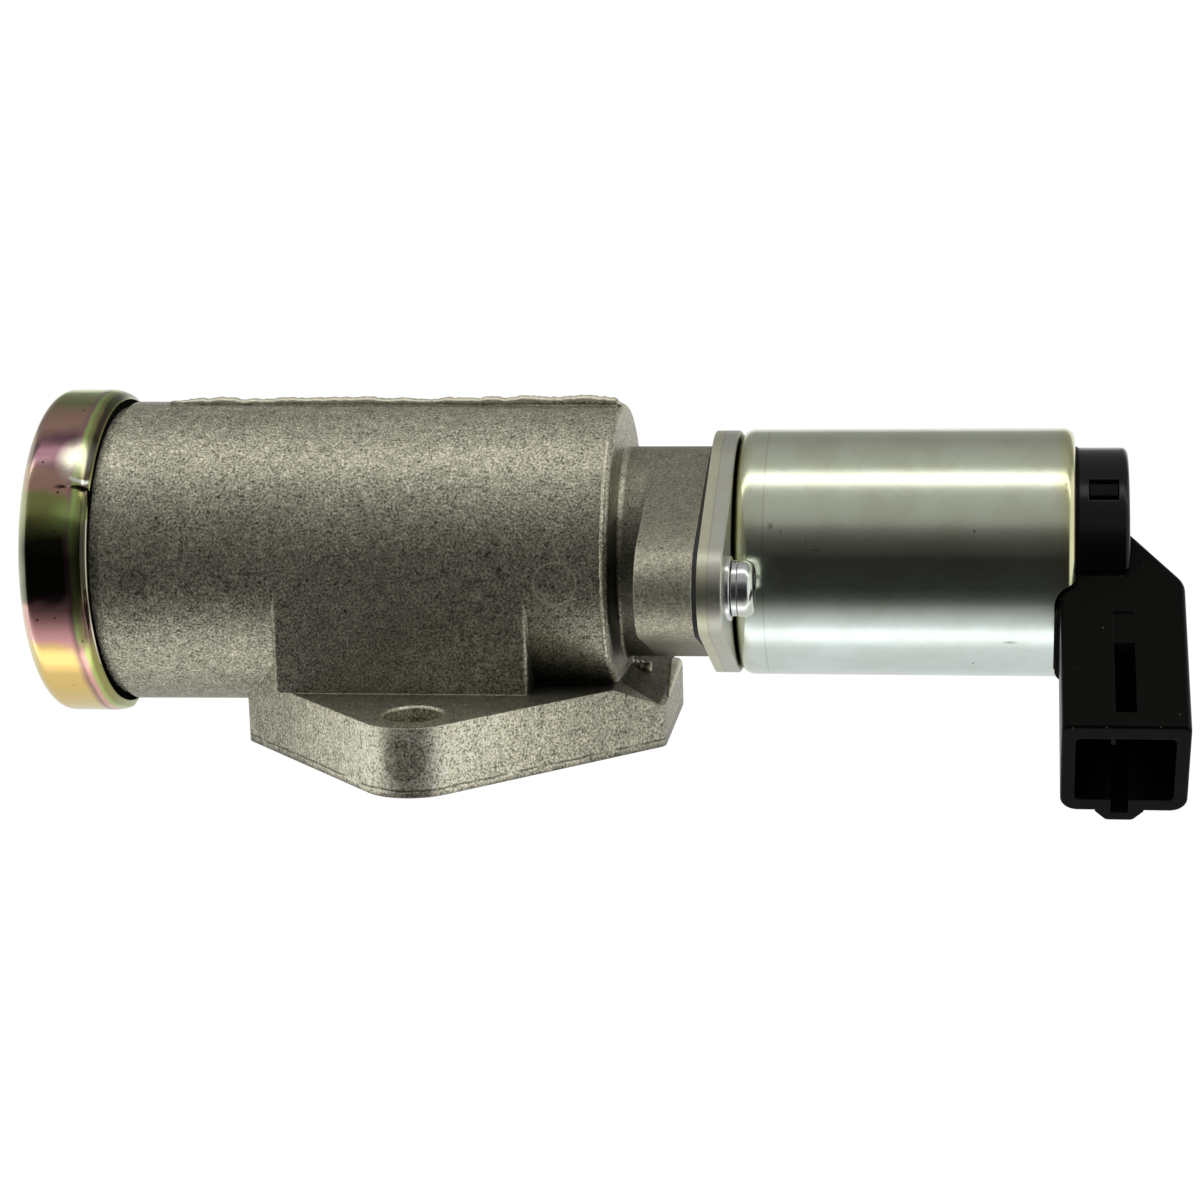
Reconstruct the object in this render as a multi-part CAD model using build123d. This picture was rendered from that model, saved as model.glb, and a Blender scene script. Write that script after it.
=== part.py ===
from build123d import *

import os
from math import atan2, cos, sin, sqrt, tan

# Idle air control valve: a solenoid pulls a plunger valve open inside a die-cast housing.
# Millimetres. X runs along the valve axis, from the end cap (-X) to the connector (+X).
# Z points up, away from the mounting face. The origin lies on the mounting face, midway
# between the two bolt holes.

# Fits
press_gap = 0.02           # between pieces pressed or moulded together
slip_gap = 0.15            # between pieces that drop together by hand
running_gap = 0.04         # radial, rod in its bushes
over_cut = 1.0             # how far a cutting shape runs past the face it cuts

# Housing casting
axis_height = 26.4         # valve axis above the mounting face
body_left = 58.5           # bolt line to the casting's open end, under the end cap
body_right = 26.8          # bolt line to the end wall at the neck
body_r = 22.4              # outside radius beside the end cap
body_draft = 0.5           # radius lost towards the neck
chamber_wall = 4.0
chamber_draft = 0.4
end_draft = 0.4            # slope of the end wall
end_fillet = 0.9
neck_r = 15.5
neck_wall = 3.3
neck_length = 12.55
neck_fillet = 0.5
ear_start = 4.5            # end wall to the back of the screw ears
ear_r = 7.0
lip_step = 0.95            # the lip under the cap stands out from the body by this much
lip_width = 7.4
groove_depth = 0.8         # relief behind the lip, where the cap is crimped
groove_width = 3.6
seal_groove_width = 1.8
seal_t = 1.4
rib_width = 1.4            # rough parting line along the top
rib_proud = 0.3
rib_left_gap = 16.8        # from the casting's open end
rib_right_gap = 1.2        # from the end wall

# Valve seat and ports
partition_x = -4.0         # middle of the wall between the two chambers
partition_t = 4.0
seat_r = 6.5
seat_lip_width = 1.5
seat_lip_height = 1.0
port_r = 7.0
port_web = 4.4
pedestal_wall = 2.35
pedestal_inset = 0.03      # pedestal's side faces, inside the barrel's radius
pedestal_edge_r = 0.8

# Flange
flange_t = 10.0
flange_left = 29.35
flange_right = 33.1
flange_left_half = 13.3
flange_right_half = 13.7
flange_corner_r = 2.5
flange_end_t = 5.95        # under the neck, at the end of the slope
ramp_length = 6.7
bolt_spacing = 65.0
bolt_hole_r = 4.2
bolt_hole_chamfer = 0.3
bolt_ear_r = 7.75

# End cap
cap_sheet = 0.9
cap_band = 8.9             # flat band of the cup, from its end to the crimp
cap_corner_r = 2.1
crimp_length = 2.3
crimp_drop = 1.4
crimp_bend_r = 0.8
stake_count = 3            # dents that lock the crimp
stake_angle = 36.0         # first one, above the horizontal on the -Y side
stake_r = 2.4              # ball of the punch
stake_depth = 0.5

# Solenoid mounting
gasket_t = 0.65
plate_t = 3.5
plate_inset = 0.2          # plate's middle, inside the can's radius
plate_edge_r = 0.35
screw_r = 2.0
screw_head_r = 4.0
screw_head_h = 2.2
screw_head_round = 1.4
screw_length = 12.0
screw_gap = 2.5            # between the can and the screw heads
hole_depth_spare = 0.8
recess_depth = 1.4
recess_width = 0.9
recess_span = 4.2
flat_washer_t = 0.8
flat_washer_r = 4.6
spring_washer_t = 1.0
spring_washer_r = 3.9
washer_edge_r = 0.25
washer_split = 0.7

# Solenoid
can_r = 18.0
can_wall = 1.2
can_length = 48.3
can_front_corner_r = 2.3
can_rear_corner_r = 1.6
can_lip_width = 2.5        # rolled-in end
rear_room = 4.6            # rear core to the can's rolled end
pole_flange_t = 3.0
core_flange_t = 3.0
spigot_wall = 2.4
sleeve_wall = 1.5
sleeve_length = 7.7
bobbin_wall = 1.2
bobbin_cheek = 1.4
winding_inset = 1.5        # winding's outside, inside the cheeks
core_reach = 17.8
bush_r = 4.0
bush_length = 5.0

# Plunger
stroke = 4.0
stop_gap = 0.3             # left between armature and core when fully open
seat_gap = 0.1             # left between seal and seat when closed
rod_r = 2.0
armature_r = 6.2
armature_gap = 0.3
armature_length = 18.8
armature_room = 1.5        # behind the armature when closed
seal_overlap = 2.1         # seal's rim past the seat
seal_face_t = 1.2
disc_t = 2.3
collar_r = 3.2
collar_t = 1.2
clip_r = 4.2
clip_t = 1.0
rod_tail = 1.6             # rod past the clip
rod_grip = 1.5             # rod held in the rear bush when closed
rod_spare = 0.5            # left behind the rod when fully open

# Return spring
spring_wire = 0.55
spring_rod_gap = 0.65
spring_bore_gap = 0.4
spring_turns = 6
spring_pocket = 6.5
spring_end_gap = 0.12      # between the last turn and the armature
adjuster_proud = 0.8
adjuster_slot = 1.0

# Connector
tower_angle = 33.2         # below the horizontal, towards -Y
tower_overlap = 2.2        # tower's inner side, inside the end of the can
tower_width = 17.2         # along X
tower_half = 8.75          # across, at the mouth
tower_root_half = 8.2      # across, at the heel
tower_reach = 41.3         # valve axis to the mouth
tower_edge_r = 1.1
tower_under_r = 2.4        # the two edges on the key's side
mouth_edge_r = 0.45
shoulder_reach = 13.6
shoulder_r = 4.0
heel_reach = 3.6
notch_depth = 3.0
notch_corner_r = 2.8
root_proud = 0.4           # overmould in the notch, standing out of the can
disc_step = 0.4            # overmould standing out of the rolled end
adjuster_hole_r = 5.5
socket_width = 13.4
socket_height = 12.6
socket_depth = 18.0
socket_corner_r = 0.8
latch_width = 2.85
latch_start = 19.8
latch_window_start = 25.5
latch_end = 38.65
key_shift = -0.55          # from the middle of the tower
key_base = 6.6
key_tip = 3.6
key_tip_r = 0.8
key_height = 1.8
key_length = 15.0
key_end_wall = 1.4
key_slot_width = 2.4
key_slot_depth = 2.7
guide_width = 0.6
guide_height = 1.7
guide_offset = -1.7        # from the middle of the socket
guide_setback = 0.5        # guide's end, inside the mouth
blade_pitch = 5.4
blade_t = 0.8
blade_width = 2.8
blade_root = 16.0
blade_setback = 8.0        # blade tips inside the mouth

# Vent cap
vent_inset = 2.8           # inside the can's radius
vent_length = 7.1
vent_wall = 1.4
vent_round = 0.9
vent_snap_angle = 48.0     # above the horizontal, on the tower's side
snap_width = 3.6
snap_length = 4.2
snap_from_end = 1.4
snap_lug = 2.0
snap_tongue_t = 1.2
filter_gap = 0.45          # inside the snap tongues
filter_t = 4.0

# Stations along X, worked out from the sizes above
neck_end = body_right + neck_length
plate_x0 = neck_end + gasket_t
plate_x1 = plate_x0 + plate_t
can_x0 = plate_x1
can_x1 = can_x0 + can_length
can_inner_x0 = can_x0 + can_wall
rear_x = can_x1 - rear_room
bobbin_x0 = can_inner_x0 + pole_flange_t
bobbin_x1 = rear_x - core_flange_t
core_face = bobbin_x1 - core_reach
armature_x1 = core_face - stop_gap - stroke
armature_x0 = armature_x1 - armature_length
armature_bore_x0 = armature_x0 - armature_room
spigot_x0 = armature_bore_x0 - bush_length
rear_bush_x0 = core_face + spring_pocket
rear_bush_x1 = rear_bush_x0 + rod_grip + stroke + rod_spare
partition_left = partition_x - partition_t / 2
partition_right = partition_x + partition_t / 2
seal_x0 = partition_right + seat_lip_height + seat_gap
disc_x0 = seal_x0 + seal_face_t
disc_x1 = disc_x0 + disc_t
disc_face_x = can_x1 + disc_step
vent_x1 = disc_face_x + vent_length
notch_x = can_x1 - notch_depth
tower_x0 = can_x1 - tower_overlap
tower_x1 = tower_x0 + tower_width
tower_mid = (tower_x0 + tower_x1) / 2
cap_left = -body_left - cap_sheet

# Radii and places across the axis, worked out the same way
lip_r = body_r + lip_step
cap_r = lip_r + press_gap + cap_sheet
groove_r = body_r - groove_depth
chamber_r = body_r - chamber_wall
neck_bore_r = neck_r - neck_wall
armature_bore_r = armature_r + armature_gap
spigot_r = armature_bore_r + spigot_wall
sleeve_r = armature_bore_r + sleeve_wall
can_inner_r = can_r - can_wall
pole_r = can_inner_r - slip_gap
bobbin_bore_r = sleeve_r + press_gap
bobbin_r = bobbin_bore_r + bobbin_wall
winding_r = pole_r - winding_inset
spring_r = rod_r + spring_rod_gap + spring_wire
core_bore_r = spring_r + spring_bore_gap
seal_r = seat_r + seal_overlap
screw_y = can_r + screw_gap + screw_head_r
bolt_y = bolt_spacing / 2
can_mouth_r = can_r - can_lip_width
vent_r = can_r - vent_inset
tongue_r = vent_r - vent_wall - slip_gap
filter_r = tongue_r - snap_tongue_t - filter_gap
same_place = 1e-3          # how close two places are to be the same

on_axis = Pos(0, 0, axis_height)
on_tower = on_axis * Rot(tower_angle, 0, 0)


def turned(*outline):
    """A solid turned about the X axis from (x, radius) points."""
    return revolve(make_face(Polyline(*outline, close=True)), axis=Axis.X)


def bar(x0, x1, radius):
    """A round bar on the X axis."""
    return turned((x0, 0), (x1, 0), (x1, radius), (x0, radius))


def ring(x0, x1, inner_r, outer_r):
    """A plain tube or washer on the X axis."""
    return turned((x0, inner_r), (x1, inner_r), (x1, outer_r), (x0, outer_r))


def block(x_range, y_range, z_range):
    """A box between two limits on each axis."""
    sizes = [high - low for low, high in (x_range, y_range, z_range)]
    middles = [(high + low) / 2 for low, high in (x_range, y_range, z_range)]
    return Pos(*middles) * Box(*sizes)


def rim(solid, x, radius):
    """The round edges of a turned solid at one station and radius."""
    return [
        edge
        for edge in solid.edges().filter_by(GeomType.CIRCLE)
        if abs(edge.arc_center.X - x) < same_place and abs(edge.radius - radius) < same_place
    ]


def hull_plate(circles, thickness, plane=Plane.XY):
    """A plate whose outline is a belt drawn round some circles, each (u, v, radius)."""
    edges = [edge for u, v, radius in circles for edge in (Pos(u, v) * Circle(radius)).edges()]
    return extrude(plane * make_hull(edges), thickness)


def lozenge(x0, x1, middle_r):
    """A plate across the valve axis: a round middle with a screw ear on each side."""
    circles = [(0, 0, middle_r)] + [(side * screw_y, 0, ear_r) for side in (-1, 1)]
    return Pos(x0, 0, 0) * hull_plate(circles, x1 - x0, Plane.YZ)


def at_screws(solid):
    """Two copies of a solid on the X axis, one on each screw's axis."""
    return [Pos(0, side * screw_y, 0) * solid for side in (-1, 1)]


def body_radius_at(x):
    """Outside radius of the casting's drafted barrel."""
    return body_r - body_draft * (x + body_left) / (body_left + body_right)


def flange_outline():
    """Circles, each (x, y, radius), that the flange's diamond outline is drawn round."""
    ends = [(-flange_left, flange_left_half, 1), (flange_right, flange_right_half, -1)]
    circles = [(0, side * bolt_y, bolt_ear_r) for side in (-1, 1)]
    for x, half, inward in ends:
        corner_x = x + inward * flange_corner_r
        corner_y = half - flange_corner_r
        circles += [(corner_x, side * corner_y, flange_corner_r) for side in (-1, 1)]
    return circles


def flange():
    """Diamond flange, cut flat at both ends, with a slope under the neck and two bolt holes."""
    plate = hull_plate(flange_outline(), flange_t)
    slope_start = flange_right - ramp_length
    slope_past = flange_right + ramp_length
    drop = flange_t - flange_end_t
    slope = Polyline(
        (slope_start, flange_t),
        (slope_past, flange_t - 2 * drop),
        (slope_past, flange_t + over_cut),
        (slope_start, flange_t + over_cut),
        close=True,
    )
    plate -= extrude(Plane.XZ * make_face(slope), bolt_spacing, both=True)
    for side in (-1, 1):
        plate -= Pos(0, side * bolt_y, flange_t / 2) * Cylinder(bolt_hole_r, flange_t + over_cut)
    top_rims = [
        edge
        for edge in plate.edges().filter_by(GeomType.CIRCLE)
        if abs(edge.arc_center.Z - flange_t) < same_place and abs(edge.radius - bolt_hole_r) < same_place
    ]
    return chamfer(top_rims, bolt_hole_chamfer)


def barrel():
    """The casting's round outside: lip and relief under the cap, drafted barrel, end wall, neck."""
    lip_x1 = -body_left + lip_width
    groove_x1 = lip_x1 + groove_width
    end_r = body_r - body_draft
    shape = turned(
        (-body_left, 0),
        (-body_left, lip_r),
        (lip_x1, lip_r),
        (lip_x1 + lip_step, groove_r),
        (groove_x1, groove_r),
        (groove_x1, body_r),
        (body_right - end_draft, end_r),
        (body_right, neck_r),
        (neck_end, neck_r),
        (neck_end, 0),
    )
    shape = fillet(rim(shape, body_right - end_draft, end_r), end_fillet)
    return fillet(rim(shape, body_right, neck_r), neck_fillet)


def casting_outside():
    """Barrel, ears, parting-line rib, pedestal, flange and the web at its left end in one."""
    ears = lozenge(body_right + ear_start, neck_end, neck_r)
    rib = block(
        (rib_left_gap - body_left, body_right - rib_right_gap),
        (-rib_width / 2, rib_width / 2),
        (0, body_r + rib_proud),
    )
    port_span = port_web / 2 + 2 * port_r + pedestal_wall
    left, right = partition_x - port_span, partition_x + port_span
    left_half = body_radius_at(left) - pedestal_inset
    right_half = body_radius_at(right) - pedestal_inset
    plan = Polyline(
        (left, -left_half), (right, -right_half), (right, right_half), (left, left_half), close=True
    )
    pedestal = Pos(0, 0, flange_t) * extrude(make_face(plan), axis_height - flange_t)
    pedestal = fillet(pedestal.edges().filter_by(Axis.Z), pedestal_edge_r)
    web = hull_plate(flange_outline(), axis_height) & block(
        (-flange_left, left + pedestal_edge_r), (-bolt_y, bolt_y), (0, axis_height)
    )
    return on_axis * (barrel() + ears + rib) + pedestal + flange() + web


def casting_hollows():
    """Both chambers, the seat bore, the ports, the seal groove and the screw holes."""
    chamber = turned(
        (-body_left - over_cut, 0),
        (partition_left, 0),
        (partition_left, chamber_r - chamber_draft),
        (-body_left - over_cut, chamber_r),
    )
    neck_bore = bar(partition_right, neck_end + over_cut, neck_bore_r)
    seat_bore = bar(partition_left - over_cut, partition_right + over_cut, seat_r)
    seal_mid_r = (chamber_r + lip_r) / 2
    seal_groove = ring(
        -body_left - over_cut,
        -body_left + seal_t,
        seal_mid_r - seal_groove_width / 2,
        seal_mid_r + seal_groove_width / 2,
    )
    screw_end = plate_x1 + flat_washer_t + spring_washer_t - screw_length
    screw_hole = bar(screw_end - hole_depth_spare, neck_end + over_cut, screw_r + press_gap)
    hollows = [chamber, neck_bore, seat_bore, seal_groove] + at_screws(screw_hole)
    ports = [
        Pos(partition_x + side * (port_web / 2 + port_r), 0, (axis_height - over_cut) / 2)
        * Cylinder(port_r, axis_height + over_cut)
        for side in (-1, 1)
    ]
    return [on_axis * hollow for hollow in hollows] + ports


def valve_body():
    """Die-cast housing with its chambers, ports, seat and flange."""
    seat_lip = ring(
        partition_right,
        partition_right + seat_lip_height,
        seat_r,
        seat_r + seat_lip_width,
    )
    return casting_outside() - casting_hollows() + on_axis * seat_lip


def end_cap():
    """Pressed cup, crimped inwards behind the casting's lip."""
    crimp_x = cap_left + cap_band
    crimp_angle = atan2(crimp_drop, crimp_length)
    inner_bend = crimp_x - cap_sheet * tan(crimp_angle / 2)
    end_x = crimp_x + crimp_length
    end_r = cap_r - crimp_drop
    inner_r = cap_r - cap_sheet
    shape = turned(
        (cap_left, 0),
        (cap_left, cap_r),
        (crimp_x, cap_r),
        (end_x, end_r),
        (end_x - cap_sheet * sin(crimp_angle), end_r - cap_sheet * cos(crimp_angle)),
        (inner_bend, inner_r),
        (cap_left + cap_sheet, inner_r),
        (cap_left + cap_sheet, 0),
    )
    shape = fillet(rim(shape, cap_left, cap_r), cap_corner_r)
    shape = fillet(rim(shape, crimp_x, cap_r), crimp_bend_r)
    punch_r = (cap_r + end_r) / 2 - stake_depth + stake_r
    punch = Pos((crimp_x + end_x) / 2, -punch_r, 0) * Sphere(stake_r)
    for place in range(stake_count):
        shape -= Rot(-stake_angle - 360 / stake_count * place, 0, 0) * punch
    return on_axis * shape


def end_cap_seal():
    """Square-section ring in the groove under the cap."""
    middle_r = (chamber_r + lip_r) / 2
    half = seal_groove_width / 2 - press_gap
    return on_axis * ring(-body_left, -body_left + seal_t, middle_r - half, middle_r + half)


def solenoid_gasket():
    """Thin gasket between the neck and the mounting plate."""
    sheet = lozenge(neck_end, plate_x0, neck_r)
    holes = at_screws(bar(neck_end, plate_x0, screw_r + slip_gap))
    return on_axis * (sheet - bar(neck_end, plate_x0, neck_bore_r) - holes)


def mounting_plate():
    """Blanked steel plate that carries the solenoid."""
    plate = lozenge(plate_x0, plate_x1, can_r - plate_inset)
    plate = fillet(plate.faces().sort_by(Axis.X)[-1].edges(), plate_edge_r)
    holes = at_screws(bar(plate_x0, plate_x1, screw_r + slip_gap))
    return on_axis * (plate - bar(plate_x0, plate_x1, spigot_r + press_gap) - holes)


def plate_screws():
    """Two pan-head screws with a cross recess."""
    head_x0 = plate_x1 + flat_washer_t + spring_washer_t
    head_x1 = head_x0 + screw_head_h
    head = bar(head_x0, head_x1, screw_head_r)
    head = fillet(rim(head, head_x1, screw_head_r), screw_head_round)
    screw = head + bar(head_x0 - screw_length, head_x0, screw_r)
    for wide, tall in ((recess_width, recess_span), (recess_span, recess_width)):
        screw -= block(
            (head_x1 - recess_depth, head_x1 + over_cut),
            (-wide / 2, wide / 2),
            (-tall / 2, tall / 2),
        )
    return on_axis * Compound(at_screws(screw))


def flat_washers():
    """Plain washers on the mounting plate."""
    x1 = plate_x1 + flat_washer_t
    washer = ring(plate_x1, x1, screw_r + slip_gap, flat_washer_r)
    washer = fillet(rim(washer, x1, flat_washer_r), washer_edge_r)
    return on_axis * Compound(at_screws(washer))


def spring_washers():
    """Split spring washers, pressed flat under the screw heads."""
    x0 = plate_x1 + flat_washer_t
    x1 = x0 + spring_washer_t
    washer = ring(x0, x1, screw_r + slip_gap, spring_washer_r)
    washer = fillet(rim(washer, x0, spring_washer_r) + rim(washer, x1, spring_washer_r), washer_edge_r)
    washer -= block(
        (x0 - over_cut, x1 + over_cut),
        (-washer_split / 2, washer_split / 2),
        (0, spring_washer_r + over_cut),
    )
    return on_axis * Compound(at_screws(washer))


def solenoid_can():
    """Drawn can with a closed front, a rolled-in rear end and a notch for the connector."""
    hole_r = spigot_r + press_gap
    can = turned(
        (can_x0, hole_r),
        (can_x0, can_r),
        (can_x1, can_r),
        (can_x1, can_mouth_r),
        (can_x1 - can_wall, can_mouth_r),
        (can_x1 - can_wall, can_inner_r),
        (can_inner_x0, can_inner_r),
        (can_inner_x0, hole_r),
    )
    can = fillet(rim(can, can_x0, can_r), can_front_corner_r)
    can = fillet(rim(can, can_inner_x0, can_inner_r), can_front_corner_r - can_wall)
    can = fillet(rim(can, can_x1, can_r), can_rear_corner_r)
    can = fillet(rim(can, can_x1 - can_wall, can_inner_r), can_rear_corner_r - can_wall)
    notch_half = tower_half + 2 * slip_gap
    notch_face = Pos(notch_x + notch_depth, 0) * RectangleRounded(
        2 * notch_depth, 2 * notch_half, notch_corner_r
    )
    notch = extrude(Plane.XZ * notch_face, can_r + over_cut)
    return on_tower * (can - notch)


def front_pole():
    """Steel pole piece: spigot in the neck, flange in the can and sleeve round the armature."""
    sleeve_x1 = bobbin_x0 + sleeve_length
    pole = turned(
        (spigot_x0, bush_r + press_gap),
        (spigot_x0, spigot_r),
        (can_inner_x0, spigot_r),
        (can_inner_x0, pole_r),
        (bobbin_x0, pole_r),
        (bobbin_x0, sleeve_r),
        (sleeve_x1, sleeve_r),
        (sleeve_x1, armature_bore_r),
        (armature_bore_x0, armature_bore_r),
        (armature_bore_x0, bush_r + press_gap),
    )
    return on_axis * fillet(rim(pole, can_inner_x0, pole_r), can_front_corner_r - can_wall)


def rear_core():
    """Fixed core that the armature is pulled to, bored for the spring and its adjuster."""
    return on_axis * turned(
        (core_face, core_bore_r),
        (core_face, sleeve_r),
        (bobbin_x1, sleeve_r),
        (bobbin_x1, pole_r),
        (rear_x, pole_r),
        (rear_x, core_bore_r),
    )


def coil_bobbin():
    """Moulded bobbin between the pole piece and the core."""
    return on_axis * turned(
        (bobbin_x0, bobbin_bore_r),
        (bobbin_x0, pole_r),
        (bobbin_x0 + bobbin_cheek, pole_r),
        (bobbin_x0 + bobbin_cheek, bobbin_r),
        (bobbin_x1 - bobbin_cheek, bobbin_r),
        (bobbin_x1 - bobbin_cheek, pole_r),
        (bobbin_x1, pole_r),
        (bobbin_x1, bobbin_bore_r),
    )


def coil_winding():
    """The wound wire, as one ring between the bobbin's cheeks."""
    return on_axis * ring(
        bobbin_x0 + bobbin_cheek,
        bobbin_x1 - bobbin_cheek,
        bobbin_r + press_gap,
        winding_r,
    )


def front_bush():
    """Rod guide in the pole piece's spigot."""
    return on_axis * ring(spigot_x0, armature_bore_x0, rod_r + running_gap, bush_r)


def rear_bush():
    """Rod guide and spring seat in the core."""
    return on_axis * ring(rear_bush_x0, rear_bush_x1, rod_r + running_gap, core_bore_r - press_gap)


def adjusting_screw():
    """Slotted screw behind the rear bush that sets the spring."""
    end_x = rear_x + adjuster_proud
    radius = core_bore_r - press_gap
    screw = bar(rear_bush_x1, end_x, radius)
    slot = block(
        (end_x - adjuster_slot, end_x + over_cut),
        (-adjuster_slot / 2, adjuster_slot / 2),
        (-radius - over_cut, radius + over_cut),
    )
    return on_axis * (screw - slot)


def armature():
    """Steel plunger, pressed on the rod."""
    return on_axis * ring(armature_x0, armature_x1, rod_r + press_gap, armature_r)


def valve_rod():
    """Rod with a collar behind the valve disc."""
    rod_x0 = seal_x0 - clip_t - rod_tail
    rod_x1 = rear_bush_x0 + rod_grip
    return on_axis * turned(
        (rod_x0, 0),
        (rod_x0, rod_r),
        (disc_x1, rod_r),
        (disc_x1, collar_r),
        (disc_x1 + collar_t, collar_r),
        (disc_x1 + collar_t, rod_r),
        (rod_x1, rod_r),
        (rod_x1, 0),
    )


def valve_disc():
    """Metal disc behind the seal."""
    return on_axis * ring(disc_x0, disc_x1, rod_r + press_gap, seal_r)


def valve_seal():
    """Rubber face that closes on the seat."""
    return on_axis * ring(seal_x0, disc_x0, rod_r + press_gap, seal_r)


def rod_clip():
    """Push-on clip that holds the seal and disc against the collar."""
    clip = ring(seal_x0 - clip_t, seal_x0, rod_r + press_gap, clip_r)
    slot = block(
        (seal_x0 - clip_t - over_cut, seal_x0 + over_cut),
        (-rod_r / 2, rod_r / 2),
        (0, clip_r + over_cut),
    )
    return on_axis * (clip - slot)


def return_spring():
    """Helical spring between the armature and the rear bush."""
    wire_r = spring_wire / 2
    coil_r = spring_r - wire_r
    x0 = armature_x1 + spring_end_gap + wire_r
    length = rear_bush_x0 - press_gap - wire_r - x0
    path = Helix(length / spring_turns, length, coil_r, center=(x0, 0, 0), direction=(1, 0, 0))
    section = Plane(path @ 0, z_dir=path % 0) * Circle(wire_r)
    return on_axis * sweep(section, path=path, is_frenet=True)


def tower_profile():
    """Outline of the connector tower in X and Y, before it is turned to its angle."""
    return make_face(
        Polyline(
            (tower_x0, -heel_reach),
            (vent_x1, -heel_reach),
            (tower_x1, -shoulder_reach),
            (tower_x1, -tower_reach),
            (tower_x0, -tower_reach),
            close=True,
        )
    )


def tower_outside():
    """Connector tower without its socket, on its own axis."""
    face = tower_profile()
    corner = face.vertices().sort_by_distance(Vector(tower_x1, -shoulder_reach, 0))[0]
    tower = extrude(fillet([corner], shoulder_r), tower_half, both=True)
    side_view = make_face(
        Polyline(
            (-heel_reach, -tower_root_half),
            (-heel_reach, tower_root_half),
            (-tower_reach, tower_half),
            (-tower_reach, -tower_half),
            close=True,
        )
    )
    tower &= Pos(tower_x0, 0, 0) * extrude(Plane.YZ * side_view, tower_width)
    for side, radius in ((1, tower_edge_r), (-1, tower_under_r)):
        long_edges = [
            edge
            for edge in tower.edges()
            if side * edge.center().Z > tower_root_half - same_place
            and -tower_reach + same_place < edge.center().Y < -heel_reach - same_place
        ]
        tower = fillet(long_edges, radius)
    return fillet(tower.faces().sort_by(Axis.Y)[0].edges(), mouth_edge_r)


def tower_root():
    """The part of the overmould that fills the can's notch and carries the tower."""
    root_x0 = notch_x + slip_gap
    root_x1 = tower_x1 - tower_edge_r
    section = Pos((root_x0 + root_x1) / 2, 0) * RectangleRounded(
        root_x1 - root_x0, 2 * tower_root_half, notch_corner_r
    )
    return along_tower(section, shoulder_reach, can_r + root_proud)


def key_section():
    """Section of the polarising key under the tower, in X and Z."""
    middle = tower_mid + key_shift
    root = -(tower_half + socket_height / 2) / 2
    tip = -tower_half - key_height
    section = make_face(
        Polyline(
            (middle - key_base / 2, root),
            (middle - key_base / 2, -tower_half),
            (middle - key_tip / 2, tip),
            (middle + key_tip / 2, tip),
            (middle + key_base / 2, -tower_half),
            (middle + key_base / 2, root),
            close=True,
        )
    )
    return fillet(section.vertices().sort_by(Axis.Y)[:2], key_tip_r)


def along_tower(face, start, end):
    """Extrudes a face drawn in X and Z between two distances from the valve axis."""
    return Pos(0, -start, 0) * extrude(Plane.XZ * face, end - start)


def snap_places():
    """Turns about X for the two snaps of the vent cap."""
    return [Rot(-(vent_snap_angle + tower_angle + turn), 0, 0) for turn in (0, 180)]


def snap_tongues():
    """Sprung tongues on the overmould, each with a lug that fills a window of the vent cap."""
    lug_x0 = disc_face_x + snap_from_end + slip_gap
    lug_x1 = disc_face_x + snap_from_end + snap_length - slip_gap
    tongue = block(
        (disc_face_x - press_gap, lug_x1),
        (-tongue_r, -tongue_r + snap_tongue_t),
        (-snap_width / 2, snap_width / 2),
    )
    lug = block(
        (lug_x0, lug_x1),
        (-vent_r + slip_gap, -tongue_r),
        (-snap_lug / 2, snap_lug / 2),
    )
    return [turn * (tongue + lug) for turn in snap_places()]


def blades(gap=0.0):
    """The two terminal blades, on the tower's axis; a gap makes their slots."""
    shapes = []
    for side in (-1, 1):
        x = tower_mid + side * blade_pitch / 2
        half_t = blade_t / 2 + gap
        half_w = blade_width / 2 + gap
        shapes.append(
            block(
                (x - half_t, x + half_t),
                (-tower_reach + blade_setback, -blade_root),
                (-half_w, half_w),
            )
        )
    return shapes


def connector_housing():
    """Overmould on the coil with the connector tower and its socket."""
    mould_r = can_mouth_r - slip_gap
    overmould = turned(
        (rear_x, adjuster_hole_r),
        (rear_x, pole_r),
        (can_x1 - can_wall, pole_r),
        (can_x1 - can_wall, mould_r),
        (disc_face_x, mould_r),
        (disc_face_x, adjuster_hole_r),
    )
    overmould = fillet(rim(overmould, can_x1 - can_wall, pole_r), can_rear_corner_r - can_wall)
    housing = overmould + tower_outside() + tower_root() + snap_tongues()
    key_start = tower_reach - key_length
    housing += along_tower(key_section(), key_start, tower_reach)
    inner_half = socket_height / 2
    socket = Pos(tower_mid, 0) * RectangleRounded(socket_width, socket_height, socket_corner_r)
    floor = tower_reach - socket_depth
    housing -= along_tower(socket, floor, tower_reach + over_cut)
    key_slot = Pos(tower_mid + key_shift, -inner_half) * Rectangle(key_slot_width, 2 * key_slot_depth)
    housing -= along_tower(key_slot, key_start + key_end_wall, tower_reach + over_cut)
    half_latch = latch_width / 2
    housing -= block(
        (tower_mid - half_latch, tower_mid + half_latch),
        (-latch_end, -latch_start),
        (tower_root_half, tower_half + over_cut),
    )
    housing -= block(
        (tower_mid - half_latch, tower_mid + half_latch),
        (-latch_end, -latch_window_start),
        (inner_half - over_cut, tower_half + over_cut),
    )
    guide_x = tower_mid + guide_offset
    housing += block(
        (guide_x - guide_width / 2, guide_x + guide_width / 2),
        (-tower_reach + guide_setback, -floor + press_gap),
        (inner_half - guide_height, inner_half + press_gap),
    )
    return on_tower * (housing - blades(press_gap))


def terminal_blades():
    """Two flat terminals in the socket."""
    return on_tower * Compound(blades())


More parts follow.
